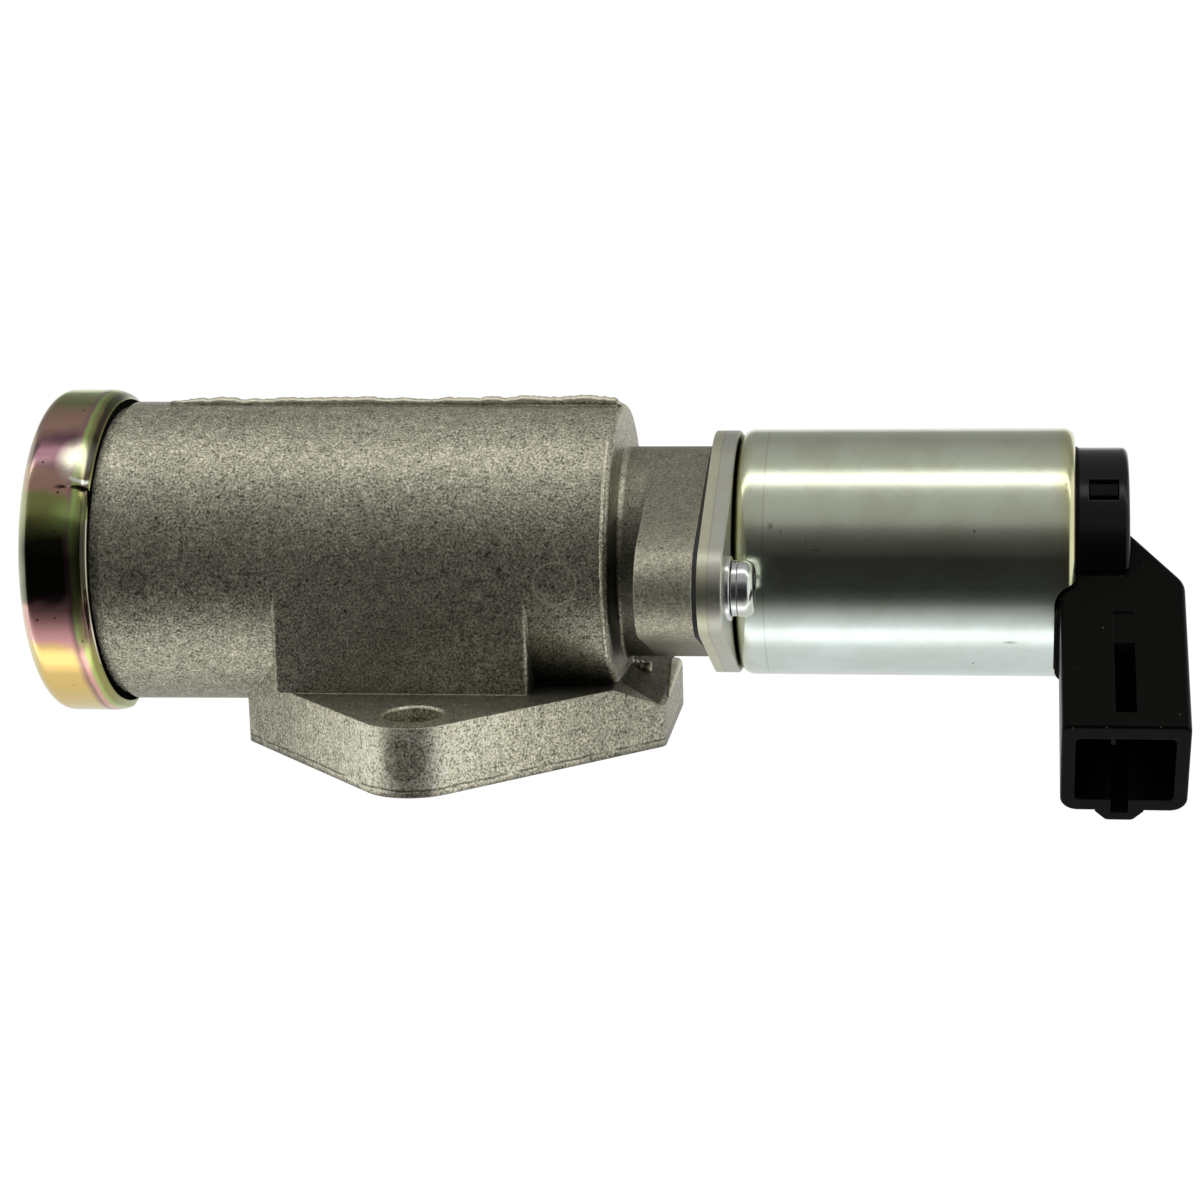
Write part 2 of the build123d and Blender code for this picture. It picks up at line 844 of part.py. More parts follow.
def tower_clearance():
    """The room that the tower takes beside the vent cap and its filter."""
    half = tower_half + slip_gap
    return block(
        (disc_face_x - over_cut, vent_x1 + over_cut),
        (-vent_r - over_cut, -heel_reach + slip_gap),
        (-half, half),
    )


def vent_cap():
    """Snap-on cap over the end of the solenoid, cut away for the tower."""
    inner_r = vent_r - vent_wall
    cup = turned(
        (disc_face_x, inner_r),
        (disc_face_x, vent_r),
        (vent_x1, vent_r),
        (vent_x1, 0),
        (vent_x1 - vent_wall, 0),
        (vent_x1 - vent_wall, inner_r),
    )
    cup = fillet(rim(cup, vent_x1, vent_r), vent_round)
    window_x0 = disc_face_x + snap_from_end
    window = block(
        (window_x0, window_x0 + snap_length),
        (-vent_r - over_cut, -sqrt(inner_r**2 - snap_width**2 / 4) + over_cut),
        (-snap_width / 2, snap_width / 2),
    )
    windows = [turn * window for turn in snap_places()]
    return on_tower * (cup - windows - tower_clearance())


def vent_filter():
    """Foam ring under the vent cap."""
    x1 = vent_x1 - vent_wall
    foam = ring(x1 - filter_t, x1, adjuster_hole_r, filter_r)
    return on_tower * (foam - tower_clearance())


nodes = {
    "valve_body": valve_body,
    "end_cap": end_cap,
    "end_cap_seal": end_cap_seal,
    "solenoid_gasket": solenoid_gasket,
    "mounting_plate": mounting_plate,
    "plate_screws": plate_screws,
    "flat_washers": flat_washers,
    "spring_washers": spring_washers,
    "solenoid_can": solenoid_can,
    "front_pole": front_pole,
    "rear_core": rear_core,
    "coil_bobbin": coil_bobbin,
    "coil_winding": coil_winding,
    "front_bush": front_bush,
    "rear_bush": rear_bush,
    "adjusting_screw": adjusting_screw,
    "armature": armature,
    "valve_rod": valve_rod,
    "valve_disc": valve_disc,
    "valve_seal": valve_seal,
    "rod_clip": rod_clip,
    "return_spring": return_spring,
    "connector_housing": connector_housing,
    "terminal_blades": terminal_blades,
    "vent_cap": vent_cap,
    "vent_filter": vent_filter,
}

os.makedirs("parts", exist_ok=True)
for name, make in nodes.items():
    solid = make()
    export_step(solid, f"parts/{name}.step")
    print(f"{name}: {solid.volume:.1f} mm3")
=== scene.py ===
# %% [markdown]
# # Dressing an idle air control valve
# The valve is already modelled as solids: a die-cast body, a crimped end cap, a solenoid and a plug
# socket. This lesson gives each piece its finish, models the few things that a press or a casting
# die leaves behind, and photographs the valve on a white table.

# %% Load the valve
import random
from math import cos, exp, pi, radians, sin

import bmesh
import bpy
from mathutils import Matrix, Vector


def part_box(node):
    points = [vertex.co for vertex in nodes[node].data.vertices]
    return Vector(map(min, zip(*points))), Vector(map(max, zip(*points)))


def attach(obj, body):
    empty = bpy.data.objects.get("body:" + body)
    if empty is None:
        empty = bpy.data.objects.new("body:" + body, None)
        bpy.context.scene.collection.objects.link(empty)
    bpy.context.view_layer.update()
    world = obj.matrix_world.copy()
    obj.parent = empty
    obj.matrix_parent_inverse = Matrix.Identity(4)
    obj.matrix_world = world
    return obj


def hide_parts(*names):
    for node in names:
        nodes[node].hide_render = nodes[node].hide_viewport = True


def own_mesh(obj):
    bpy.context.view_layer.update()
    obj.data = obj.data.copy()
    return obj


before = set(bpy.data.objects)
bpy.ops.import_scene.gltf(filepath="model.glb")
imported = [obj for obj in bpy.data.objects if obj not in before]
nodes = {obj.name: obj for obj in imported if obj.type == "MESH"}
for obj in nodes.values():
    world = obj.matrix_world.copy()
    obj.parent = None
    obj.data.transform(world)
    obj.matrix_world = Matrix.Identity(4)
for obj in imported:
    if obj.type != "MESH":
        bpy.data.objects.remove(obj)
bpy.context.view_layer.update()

MM = 0.001
bpy.ops.object.select_all(action="DESELECT")

# %% [markdown]
# ## Where the valve's axis runs
# Everything round on the valve is turned about one line along X. Its height comes from the solenoid
# can's box, so that every pattern and every new piece below is centred on the real axis.

# %% Valve axis
can_low, can_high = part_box("solenoid_can")
cap_low, cap_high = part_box("end_cap")
axis_z = (can_low.z + can_high.z) / 2
print(f"axis {axis_z / MM:.2f} mm above the mounting face")

# %% [markdown]
# ## Camera
# A product photo of a small part is taken from close by with a longish lens. The camera stands a
# little to the connector's side and above the valve, and is tilted by a degree and a half, as a camera
# held by hand often is. Its place is worked out as three turns, so that each can be checked alone.

# %% Camera
camera_place = Vector((82.86, -424.63, 117.74)) * MM
camera_yaw = radians(8.129)
camera_down = radians(12.970)
camera_roll = radians(-1.536)
camera_lens = 88.711
camera_sensor = 36
camera_near = 0.01

bpy.ops.object.camera_add()
camera = bpy.context.object
camera.name = "photo_camera"
turn = Matrix.Rotation(camera_yaw, 4, "Z")
turn = turn @ Matrix.Rotation(pi / 2 - camera_down, 4, "X")
turn = turn @ Matrix.Rotation(camera_roll, 4, "Z")
camera.matrix_world = Matrix.Translation(camera_place) @ turn
camera.data.lens = camera_lens
camera.data.sensor_width = camera_sensor
camera.data.clip_start = camera_near
bpy.context.scene.camera = camera
print(f"camera {camera_place.length / MM:.0f} mm from the origin")

# %% [markdown]
# ## Nodes in few lines
# A finish is a small network of nodes, and so is the light of the room. One helper adds a node and
# links its sockets in one call. The others are sums made with it: most patterns below are masks between
# 0 and 1, which are multiplied where both must hold and joined by their maximum where either may.

# %% Helpers for nodes
def add(tree, kind, inputs=None, **settings):
    """Adds a node; an input is a plain value, or the socket that feeds it."""
    new = tree.nodes.new("ShaderNode" + kind)
    for name, value in settings.items():
        setattr(new, name, value)
    for name, value in (inputs or {}).items():
        if isinstance(value, bpy.types.NodeSocket):
            tree.links.new(value, new.inputs[name])
        else:
            new.inputs[name].default_value = value
    return new


def calc(tree, operation, one, other=0.0):
    """One sum on two values or sockets."""
    return add(tree, "Math", {0: one, 1: other}, operation=operation).outputs[0]


def times(tree, first, *others):
    """Product of values or sockets."""
    for other in others:
        first = calc(tree, "MULTIPLY", first, other)
    return first


def most(tree, first, *others):
    """Largest of some values or sockets."""
    for other in others:
        first = calc(tree, "MAXIMUM", first, other)
    return first


print("node helpers ready")

# %% [markdown]
# ## Light
# Bright metal shows its surroundings more than its own colour, so the set matters as much as the
# finish. One wide soft box overhead lights the valve. A tunnel of card stands round it, seen in
# reflections only: white underneath like the table, dark in front, where the photographer stands, and
# grey overhead with one bright tube. That gives the can and the cap their dark band and bright strip.

# %% World
white = (1, 1, 1)
room_light = 0.2
backdrop_light = 1.0


def seen_directly(tree):
    """1 for rays from the camera, also by way of a mirror or a clear piece."""
    rays = add(tree, "LightPath").outputs
    return most(tree, rays["Is Camera Ray"], rays["Is Glossy Ray"], rays["Is Transmission Ray"])


world = bpy.data.worlds.new("white_room")
bpy.context.scene.world = world
world.use_nodes = True
tree = world.node_tree
tree.nodes.clear()
room = add(tree, "Background", {"Color": (*white, 1), "Strength": room_light})
backdrop = add(tree, "Background", {"Color": (*white, 1), "Strength": backdrop_light})
choice = add(tree, "MixShader", {"Fac": seen_directly(tree), 1: room.outputs[0], 2: backdrop.outputs[0]})
add(tree, "OutputWorld", {"Surface": choice.outputs[0]})
bpy.context.scene.view_settings.view_transform = "Standard"
print("world: white to the camera and to metal, softer as light")

# %% [markdown]
# The valve is photographed over white paper, which glows a little by itself, so that it stays white
# without more light on the valve. Paper is the first finish here, so the helper that starts one comes
# with it: a plain colour, roughness and metalness, to which patterns can be linked later.

# %% Start of a finish
def grey(level):
    """A grey of one lightness."""
    return (level,) * 3


def start_finish(name, colour, roughness, metallic=0.0):
    """A material, its tree, its shader and the object coordinates that its patterns read."""
    material = bpy.data.materials.new(name)
    material.use_nodes = True
    tree = material.node_tree
    shader = tree.nodes["Principled BSDF"]
    shader.inputs["Base Color"].default_value = (*colour, 1)
    shader.inputs["Roughness"].default_value = roughness
    shader.inputs["Metallic"].default_value = metallic
    place = add(tree, "TexCoord").outputs["Object"]
    return material, tree, shader, place


print("finish helpers ready")

# %% Floor
floor_z = -0.11
floor_size = 60
paper_grey = grey(0.9)
paper_rough = 0.9
paper_glow = 1.06
paper_share = 0.95

bpy.ops.mesh.primitive_plane_add(size=floor_size, location=(0, 0, floor_z))
floor = bpy.context.object
floor.name = "white_floor"
material, tree, shader, _ = start_finish("white_paper", paper_grey, paper_rough)
glow = add(tree, "Emission", {"Color": (*white, 1), "Strength": paper_glow})
share = times(tree, seen_directly(tree), paper_share)
paper = add(tree, "MixShader", {"Fac": share, 1: shader.outputs[0], 2: glow.outputs[0]})
tree.links.new(paper.outputs[0], tree.nodes["Material Output"].inputs["Surface"])
floor.data.materials.append(material)
floor.visible_glossy = False
print(f"floor at {floor_z / MM:.0f} mm")

# %% Soft box
soft_box_place = (0.02, -0.05, axis_z + 0.6)
soft_box_length = 1.0
soft_box_width = 0.7
soft_box_power = 4.0

bpy.ops.object.light_add(type="AREA", location=soft_box_place)
soft_box = bpy.context.object
soft_box.name = "soft_box"
soft_box.data.shape = "RECTANGLE"
soft_box.data.size = soft_box_length
soft_box.data.size_y = soft_box_width
soft_box.data.energy = soft_box_power
soft_box.visible_glossy = False
print(f"soft box {soft_box.data.energy} W")

# %% Card tunnel
tunnel_r = 0.45
tunnel_length = 0.9
tunnel_x = 0.02
tunnel_sides = 96

bpy.ops.mesh.primitive_cylinder_add(
    vertices=tunnel_sides,
    radius=tunnel_r,
    depth=tunnel_length,
    end_fill_type="NGON",
    rotation=(0, pi / 2, 0),
)
tunnel = bpy.context.object
tunnel.name = "card_tunnel"
tunnel.location = (tunnel_x, 0, axis_z)
bpy.ops.object.transform_apply(location=True, rotation=True, scale=True)
tunnel.visible_camera = False
tunnel.visible_diffuse = False
tunnel.visible_transmission = False
tunnel.visible_shadow = False
print(f"tunnel {tunnel_length / MM:.0f} mm long, {len(tunnel.data.polygons)} faces")

# %% [markdown]
# The card's shade follows the angle round the valve, counted from the horizon in front. The arctangent
# of the height and the depth gives that angle and a ramp turns it into a shade. A lit window stands in
# the middle of each closed end: faces that look along the axis, such as the flange's flanks, mirror it.

# %% Helpers for colours
mix_factor, mix_one, mix_other, mix_result = 0, 6, 7, 2


def mixed(tree, factor, one, other, blend="MIX"):
    """Mixes two colours; each may be a colour or a socket."""
    node = add(tree, "Mix", {mix_factor: factor}, data_type="RGBA", blend_type=blend)
    for index, colour in ((mix_one, one), (mix_other, other)):
        if isinstance(colour, bpy.types.NodeSocket):
            tree.links.new(colour, node.inputs[index])
        else:
            node.inputs[index].default_value = (*colour, 1)
    return node.outputs[mix_result]


def tinted(tree, colour, tint):
    """A colour times a tint."""
    return mixed(tree, 1.0, colour, tint, "MULTIPLY")


def ramp(tree, factor, *stops, smooth=True):
    """A colour ramp through (position, colour) stops."""
    node = add(tree, "ValToRGB", {"Fac": factor})
    band = node.color_ramp
    band.interpolation = "EASE" if smooth else "LINEAR"
    while len(band.elements) < len(stops):
        band.elements.new(1.0)
    for element, (position, colour) in zip(band.elements, stops):
        element.position = position
        element.color = (*colour, 1)
    return node.outputs["Color"]


print("colour helpers ready")

# %% Helpers for places
def step(tree, value, start, end):
    """0 before the start, 1 after the end, and a slope between."""
    span = {"Value": value, "From Min": start, "From Max": end}
    return add(tree, "MapRange", span).outputs["Result"]


def vector(tree, operation, *values):
    """One sum on vectors; a length, a distance or a dot product comes out as a plain value."""
    node = add(tree, "VectorMath", dict(enumerate(values)), operation=operation)
    return node.outputs["Value" if operation in ("LENGTH", "DISTANCE", "DOT_PRODUCT") else "Vector"]


def around_axis(tree, place):
    """A point as seen from the valve's axis: itself, its X, Y and Z, its reach to the front, its angle."""
    centred = add(tree, "Mapping", {"Vector": place, "Location": (0, 0, -axis_z)}).outputs[0]
    parts = add(tree, "SeparateXYZ", {"Vector": centred}).outputs
    front = times(tree, parts["Y"], -1.0)
    return centred, parts, front, calc(tree, "ARCTAN2", parts["Z"], front)


def from_axis(tree, centred):
    """Distance from the valve's axis."""
    return vector(tree, "LENGTH", vector(tree, "MULTIPLY", centred, (0, 1, 1)))


def turn_ramp(tree, angle, stops):
    """A ramp round the axis, through (degrees up from the front, colour) stops."""
    share = step(tree, angle, -pi, pi)
    return ramp(tree, share, *[((degrees + 180) / 360, colour) for degrees, colour in stops], smooth=False)


print("place helpers ready")

# %% Shades of the card
tube_glow = 2.0
shades = (
    (-180, 1.0), (-150, 0.75), (-125, 0.70), (-103, 0.72), (-86, 0.80), (-79, 1.10), (-74, 1.45),
    (-66, 1.45), (-60, 0.85), (-55, 0.68), (-47, 0.46), (-38, 0.17), (-31, 0.06), (-22, 0.03), (6, 0.02),
    (13, 0.045), (20, 0.06), (27, 0.10), (33, 0.16), (38, 0.30), (44, 0.36), (64, 0.41), (72, 0.50),
    (75, 0.9), (79, 2.0), (86, 2.0), (90, 0.9), (95, 0.45), (118, 0.36), (138, 0.27), (160, 0.32),
    (170, 0.9),
)
end_shades = {tunnel_x - tunnel_length / 2: 0.85, tunnel_x + tunnel_length / 2: 0.95}
window_r = 0.30
window_fade = 0.10

material = bpy.data.materials.new("tunnel_card")
material.use_nodes = True
tree = material.node_tree
tree.nodes.clear()
centred, parts, _, angle = around_axis(tree, add(tree, "TexCoord").outputs["Object"])
card = turn_ramp(tree, angle, [(degrees, grey(shade / tube_glow)) for degrees, shade in shades])
in_window = step(tree, from_axis(tree, centred), window_r + window_fade, window_r)
for end_x, shade in end_shades.items():
    at_end = add(tree, "Math", {0: parts["X"], 1: end_x, 2: MM}, operation="COMPARE").outputs[0]
    card = mixed(tree, times(tree, at_end, in_window), card, grey(shade / tube_glow))
glow = add(tree, "Emission", {"Color": card, "Strength": tube_glow})
add(tree, "OutputMaterial", {"Surface": glow.outputs[0]})
tunnel.data.materials.append(material)
print(f"{len(shades)} shades round the tunnel")

# %% [markdown]
# ## Lines, rings and soft edges
# Dies, tools and handling leave thin lines on the pieces. A line is drawn where a measured value, such
# as the height or the distance from a point, comes near to a given one. A Bevel node softens the
# shading at sharp edges, as a tumbled casting or a moulding has them, without changing the mesh.

# %% Helpers for marks
def grain(tree, place, size, detail=2.0, rough=0.5):
    """Noise whose spots are about this size, in metres."""
    settings = {"Vector": place, "Scale": 1 / size, "Detail": detail, "Roughness": rough}
    return add(tree, "TexNoise", settings).outputs["Fac"]


def cells(tree, place, spacing):
    """Distance to the nearest of scattered points this far apart, as a share of their spacing."""
    return add(tree, "TexVoronoi", {"Vector": place, "Scale": 1 / spacing}).outputs["Distance"]


def between(tree, factor, low, high):
    """Spreads a 0 to 1 factor between two values."""
    return add(tree, "MapRange", {"Value": factor, "To Min": low, "To Max": high}).outputs["Result"]


def line(tree, value, centre, width):
    """1 where a value is at the centre, fading to 0 at the given width."""
    off = calc(tree, "ABSOLUTE", calc(tree, "SUBTRACT", value, centre))
    span = {"Value": off, "From Min": 0.0, "From Max": width, "To Min": 1.0, "To Max": 0.0}
    return add(tree, "MapRange", span).outputs["Result"]


def distance_from(tree, place, x, z):
    """Distance from a point as seen square on from the front."""
    return vector(tree, "DISTANCE", vector(tree, "MULTIPLY", place, (1, 0, 1)), (x, 0, z))


print("mark helpers ready")

# %% Helpers for edges and corners
edge_samples = 4
corner_samples = 8
edge_start, edge_full = 0.99, 0.9


def feed(tree, socket, shader, name):
    """Links a pattern to one of the shader's inputs."""
    tree.links.new(socket, shader.inputs[name])


def soft_normal(tree, radius):
    """The surface's direction with its sharp edges rounded."""
    return add(tree, "Bevel", {"Radius": radius}, samples=edge_samples).outputs["Normal"]


def round_edges(tree, shader, height, depth, strength, radius):
    """Bump over edges that the Bevel node has softened."""
    soft = soft_normal(tree, radius)
    node = add(tree, "Bump", {"Height": height, "Distance": depth, "Strength": strength, "Normal": soft})
    feed(tree, node.outputs["Normal"], shader, "Normal")


def edges(tree, radius):
    """1 along sharp edges and corners, where a softened normal leaves the face's own one."""
    face = add(tree, "NewGeometry").outputs["True Normal"]
    match = vector(tree, "DOT_PRODUCT", soft_normal(tree, radius), face)
    return step(tree, match, edge_start, edge_full)


def crevice(tree, reach):
    """0 in tight corners, 1 in the open."""
    return add(tree, "AmbientOcclusion", {"Distance": reach}, samples=corner_samples).outputs["AO"]


def painted_corner_shade(tree, reach, corner_shade_tint, start, end):
    """Painted shade: a tint that goes from a dark colour in tight corners to white in the open."""
    return ramp(tree, crevice(tree, reach), (start, corner_shade_tint), (end, white))


print("edge helpers ready")

# %% [markdown]
# ## Die-cast aluminium
# The body comes out of its die with a grey, grainy skin: fine bright and dark specks, small pores and
# slow changes of tone. Sharp noise gives the specks and their bumps, a slow one the tone, and the edges
# are rubbed light where the casting was tumbled.

# %% Grain of the casting
warm_grey = (1.0, 0.96, 0.75)
fine_speck = 0.32 * MM
coarse_speck = 1.4 * MM
coarse_share = 0.2
speck_levels = ((0.35, 0.10), (0.44, 0.32), (0.51, 0.44), (0.60, 0.66), (0.67, 0.88))


def warm(level):
    """The casting's colour at one lightness."""
    return tuple(level * share for share in warm_grey)


def casting_specks(tree, place):
    """Grain of the skin: its height and its colour."""
    fine = grain(tree, place, fine_speck, rough=0.6)
    height = mixed(tree, coarse_share, fine, grain(tree, place, coarse_speck))
    stops = [(at, warm(level)) for at, level in speck_levels]
    return height, ramp(tree, height, *stops, smooth=False)


print("casting grain ready")

# %% [markdown]
# Ejector pins leave round outlines, a shallow one on the barrel and deeper ones on the flange's ear and
# beside the cap. The die's halves leave a dark line along the flange's foot, and handling a scratch.
# Each is a mask between 0 and 1, from the distance to a point or from a height.

# %% Lines of the die and painted shade
foot_line = 1.3 * MM
foot_line_width = 0.24 * MM
foot_edge = 1.1 * MM
foot_bottom = 0.2 * MM
foot_wobble = 1.4
wobble_size = 2.5 * MM
wobble_depth = 0.5 * MM
break_size = 4 * MM
barrel_end = 25.65 * MM
end_shade_x = barrel_end + 0.85 * MM
end_shade_width = 0.8 * MM
flash_shade_y = -1.2 * MM
flash_shade_width = 0.55 * MM
flash_shade = 0.35


def dark_lines(tree, place, parts, near_side):
    """Masks of the foot's line and edge, painted shade at the barrel's end and painted shadow under the top
    flash.
    """
    wobble = times(tree, grain(tree, place, wobble_size), wobble_depth)
    low_line = line(tree, calc(tree, "ADD", parts["Z"], wobble), foot_line, foot_line_width)
    breaks = step(tree, grain(tree, place, break_size), 0.32, 0.44)
    rough_foot = calc(tree, "ADD", parts["Z"], times(tree, wobble, foot_wobble))
    # painted shade beside the barrel's end
    end_line = line(tree, parts["X"], end_shade_x, end_shade_width)
    below_axis = step(tree, parts["Z"], 33 * MM, 28 * MM)
    above_flange = step(tree, parts["Z"], 11 * MM, 15 * MM)
    # painted shadow under the flash on top
    flash_line = line(tree, calc(tree, "ADD", parts["Y"], wobble), flash_shade_y, flash_shade_width)
    on_top = step(tree, parts["Z"], axis_z + 21.6 * MM, axis_z + 21.9 * MM)
    return [
        times(tree, low_line, breaks),
        step(tree, rough_foot, foot_edge, foot_bottom),
        times(tree, end_line, below_axis, above_flange, near_side),
        times(tree, flash_line, on_top, flash_shade),
    ]


print(f"foot line {foot_line / MM} mm up")

# %% Pins, scratch and pores
pin_deep = ((0.1, 5.4, 2.8), (-42.5, 26.4, 1.8))
pin_line = 0.2 * MM
pin_fade = 0.1 * MM
pin_line_share = 0.75
pin_disc_share = 0.3
scratch_start = Vector((8.9, 0, 32.5)) * MM
scratch_end = Vector((12.2, 0, 24.9)) * MM
scratch_width = 0.2 * MM
scratch_share = 0.5
pore_spacing = 5.5 * MM


def segment(tree, place, start, end, width):
    """1 on a straight scratch between two points, as seen square on from the front."""
    along = (end - start).normalized()
    across = Vector((-along.z, 0, along.x))
    from_middle = vector(tree, "SUBTRACT", place, (start + end) / 2)
    shares = []
    for axis, reach in ((along, (end - start).length / 2), (across, width)):
        shares.append(line(tree, vector(tree, "DOT_PRODUCT", from_middle, axis), 0.0, reach))
    blunt = calc(tree, "MINIMUM", times(tree, shares[0], 4.0), 1.0)
    return times(tree, blunt, shares[1])


def dark_marks(tree, place, parts, near_side):
    """The die's lines, painted shade and shadow, deep pin marks, a scratch and pores in one mask."""
    marks = dark_lines(tree, place, parts, near_side)
    for x, z, radius in pin_deep:
        away = distance_from(tree, place, x * MM, z * MM)
        outline = times(tree, line(tree, away, radius * MM, pin_line), pin_line_share)
        disc = times(tree, step(tree, away, radius * MM, radius * MM - pin_fade), pin_disc_share)
        marks.append(times(tree, most(tree, outline, disc), near_side))
    scratch = segment(tree, place, scratch_start, scratch_end, scratch_width)
    marks.append(times(tree, scratch, near_side, scratch_share))
    marks.append(step(tree, cells(tree, place, pore_spacing), 0.055, 0.03))
    return most(tree, *marks)


print(f"{len(pin_deep)} deep pin marks, scratch {(scratch_end - scratch_start).length / MM:.1f} mm long")

# %% Light marks and painted highlights
pin_shallow = (18.85, 26.3, 3.05)
pin_ring_width = 0.24 * MM
rub_size = 1.2 * MM
rub_radius = 0.35 * MM
flange_top = 10.0 * MM
foot_highlight_width = 0.3 * MM
pedestal_right = 16.0 * MM
pedestal_fade = 0.5 * MM
neck_root = 27.4 * MM
neck_root_width = 0.4 * MM


def light_marks(tree, place, parts, near_side):
    """Rubbed edges, the shallow pin mark, and painted highlights at the neck's root and the barrel-flange
    fillet.
    """
    patchy = step(tree, grain(tree, place, rub_size, detail=3.0, rough=0.6), 0.34, 0.58)
    x, z, radius = pin_shallow
    ring = line(tree, distance_from(tree, place, x * MM, z * MM), radius * MM, pin_ring_width)
    # painted highlight along the neck's root
    root = line(tree, parts["X"], neck_root, neck_root_width)
    upper = step(tree, parts["Z"], 28 * MM, 31 * MM)
    in_front = step(tree, parts["Y"], 0.0, -2 * MM)
    # painted highlight along the fillet at the barrel's foot
    foot_highlight = line(tree, parts["Z"], flange_top + foot_highlight_width, foot_highlight_width)
    beside = step(tree, parts["X"], pedestal_right, pedestal_right + pedestal_fade)
    return most(
        tree,
        times(tree, edges(tree, rub_radius), patchy),
        times(tree, ring, near_side),
        times(tree, root, patchy, upper, in_front),
        times(tree, foot_highlight, beside, near_side),
    )


print(f"shallow pin mark {2 * pin_shallow[2]:.1f} mm across")

# %% [markdown]
# The skin isn't equally light all over. The neck is rougher and darker, painted light lifts the ear and
# the barrel's top, and painted shade darkens the corners, the slope under the neck and the flange's deck.
# Each zone is a box in the casting's own coordinates, so nothing has to be painted or unwrapped.

# %% Zones of the casting
far = 60.0
zone_fade = 0.2
neck_zone = {"X": (27.6, 45.0), "Z": (10.6, far)}
groove_zone = {"X": (-far, -47.0)}
corner_zone = {"X": (25.0, 28.0), "Z": (34.0, far)}
slope_zone = {"X": (26.8, 32.4), "Y": (-13.0, far), "Z": (4.5, 10.3)}
deck_zone = {"Z": (9.0, 10.2)}


def inside(tree, parts, zone):
    """1 within a box, given as X, Y or Z spans in mm, with soft sides."""
    share = 1.0
    for axis, (low, high) in zone.items():
        for start, end in ((low - zone_fade, low + zone_fade), (high + zone_fade, high - zone_fade)):
            share = times(tree, step(tree, parts[axis], start * MM, end * MM), share)
    return share


print("zones: neck, groove, corner, slope and deck")

# %% Tone and shade of the casting
tone_size = 9 * MM
tone_stops = ((0.3, (0.90, 0.90, 0.88)), (0.7, (1.0, 1.0, 0.985)))
neck_share = 0.55
neck_level = 0.21
ear_start, ear_end = -20 * MM, -38 * MM
top_start, top_end = axis_z + 14 * MM, axis_z + 20 * MM
top_share = 0.25
painted_light_tint = grey(2.0)
rubbed_and_lit_level = 0.95
corner_shade_colour = (0.45, 0.45, 0.43)
deck_tone = 0.58


def cast_tone(tree, place, parts, specks, neck, lift):
    """The specks' colour, darker on the neck, with painted light on the ear and the top; lift lightens it
    all.
    """
    tone = ramp(tree, grain(tree, place, tone_size, detail=3.0), *tone_stops)
    skin = mixed(tree, times(tree, neck, neck_share), tinted(tree, specks, tone), warm(neck_level))
    # painted light on the flange's ear and, less, on the barrel's top
    ear = step(tree, parts["Y"], ear_start, ear_end)
    upper = times(tree, step(tree, parts["Z"], top_start, top_end), top_share)
    skin = mixed(tree, most(tree, ear, upper), skin, painted_light_tint, "MULTIPLY")
    return mixed(tree, lift, skin, warm(rubbed_and_lit_level))


def cast_shade(tree, parts, groove, slope, deepest):
    """Painted shade in corners and hollows, on the slope under the neck and on the flange's deck, as a tint.
    """
    # painted shade in tight corners and, wider, in hollows
    close = painted_corner_shade(tree, 1.2 * MM, corner_shade_colour, 0.1, 0.7)
    hollow = painted_corner_shade(tree, 9 * MM, grey(deepest), 0.15, 0.65)
    open_air = most(tree, groove, inside(tree, parts, corner_zone))
    shade = mixed(tree, open_air, tinted(tree, close, hollow), white)
    # painted shade on the slope under the neck
    shade = mixed(tree, slope, shade, grey(deepest**0.5))
    facing = add(tree, "SeparateXYZ", {"Vector": add(tree, "NewGeometry").outputs["Normal"]}).outputs
    # painted shade on the flange's up-facing deck
    deck = times(tree, inside(tree, parts, deck_zone), step(tree, facing["Z"], 0.90, 0.97))
    return mixed(tree, deck, shade, tinted(tree, shade, grey(deck_tone)))


print("casting tones ready")

# %% Die-cast aluminium
near_y = -12 * MM
light_share = 0.75
dark_share = 0.85
dark_level = 0.025
cast_tint = grey(0.75)
neck_rough = 0.52
slope_dull = 0.8


def die_cast(name, lift, deepest):
    """Grainy skin, die marks, painted light and shade; lift lightens it, deepest is the darkest painted
    shade in a hollow.
    """
    material, tree, shader, place = start_finish(name, warm(0.5), 0.36, 0.86)
    parts = add(tree, "SeparateXYZ", {"Vector": place}).outputs
    near_side = calc(tree, "LESS_THAN", parts["Y"], near_y)
    neck = inside(tree, parts, neck_zone)
    groove = inside(tree, parts, groove_zone)
    slope = inside(tree, parts, slope_zone)
    height, specks = casting_specks(tree, place)
    skin = cast_tone(tree, place, parts, specks, neck, lift)
    # light marks: rubbed edges and a pin ring, with painted highlights
    light = times(tree, light_marks(tree, place, parts, near_side), between(tree, groove, light_share, 0.0))
    skin = mixed(tree, light, skin, warm(rubbed_and_lit_level))
    # dark marks: the die's lines, pins, a scratch and pores, with painted shade and shadow
    dark = times(tree, dark_marks(tree, place, parts, near_side), dark_share)
    skin = mixed(tree, dark, skin, warm(dark_level))
    # the skin is tinted with painted shade in corners, hollows, on the slope and on the deck
    feed(tree, tinted(tree, skin, cast_shade(tree, parts, groove, slope, deepest)), shader, "Base Color")
    dull = times(tree, slope, slope_dull * (1.0 - deepest))
    feed(tree, mixed(tree, dull, cast_tint, grey(0.0)), shader, "Specular Tint")
    rough = most(tree, between(tree, height, 0.28, 0.46), times(tree, neck, neck_rough), dull)
    feed(tree, rough, shader, "Roughness")
    round_edges(tree, shader, height, 0.14 * MM, 0.7, 0.3 * MM)
    return material


cast_skin = die_cast("die_cast_aluminium", 0.0, 0.35)
# the flash is lifted paler, partly as broken metal and partly as painted light
flash_skin = die_cast("broken_flash", 0.65, 1.0)
print("made", cast_skin.name, flash_skin.name)

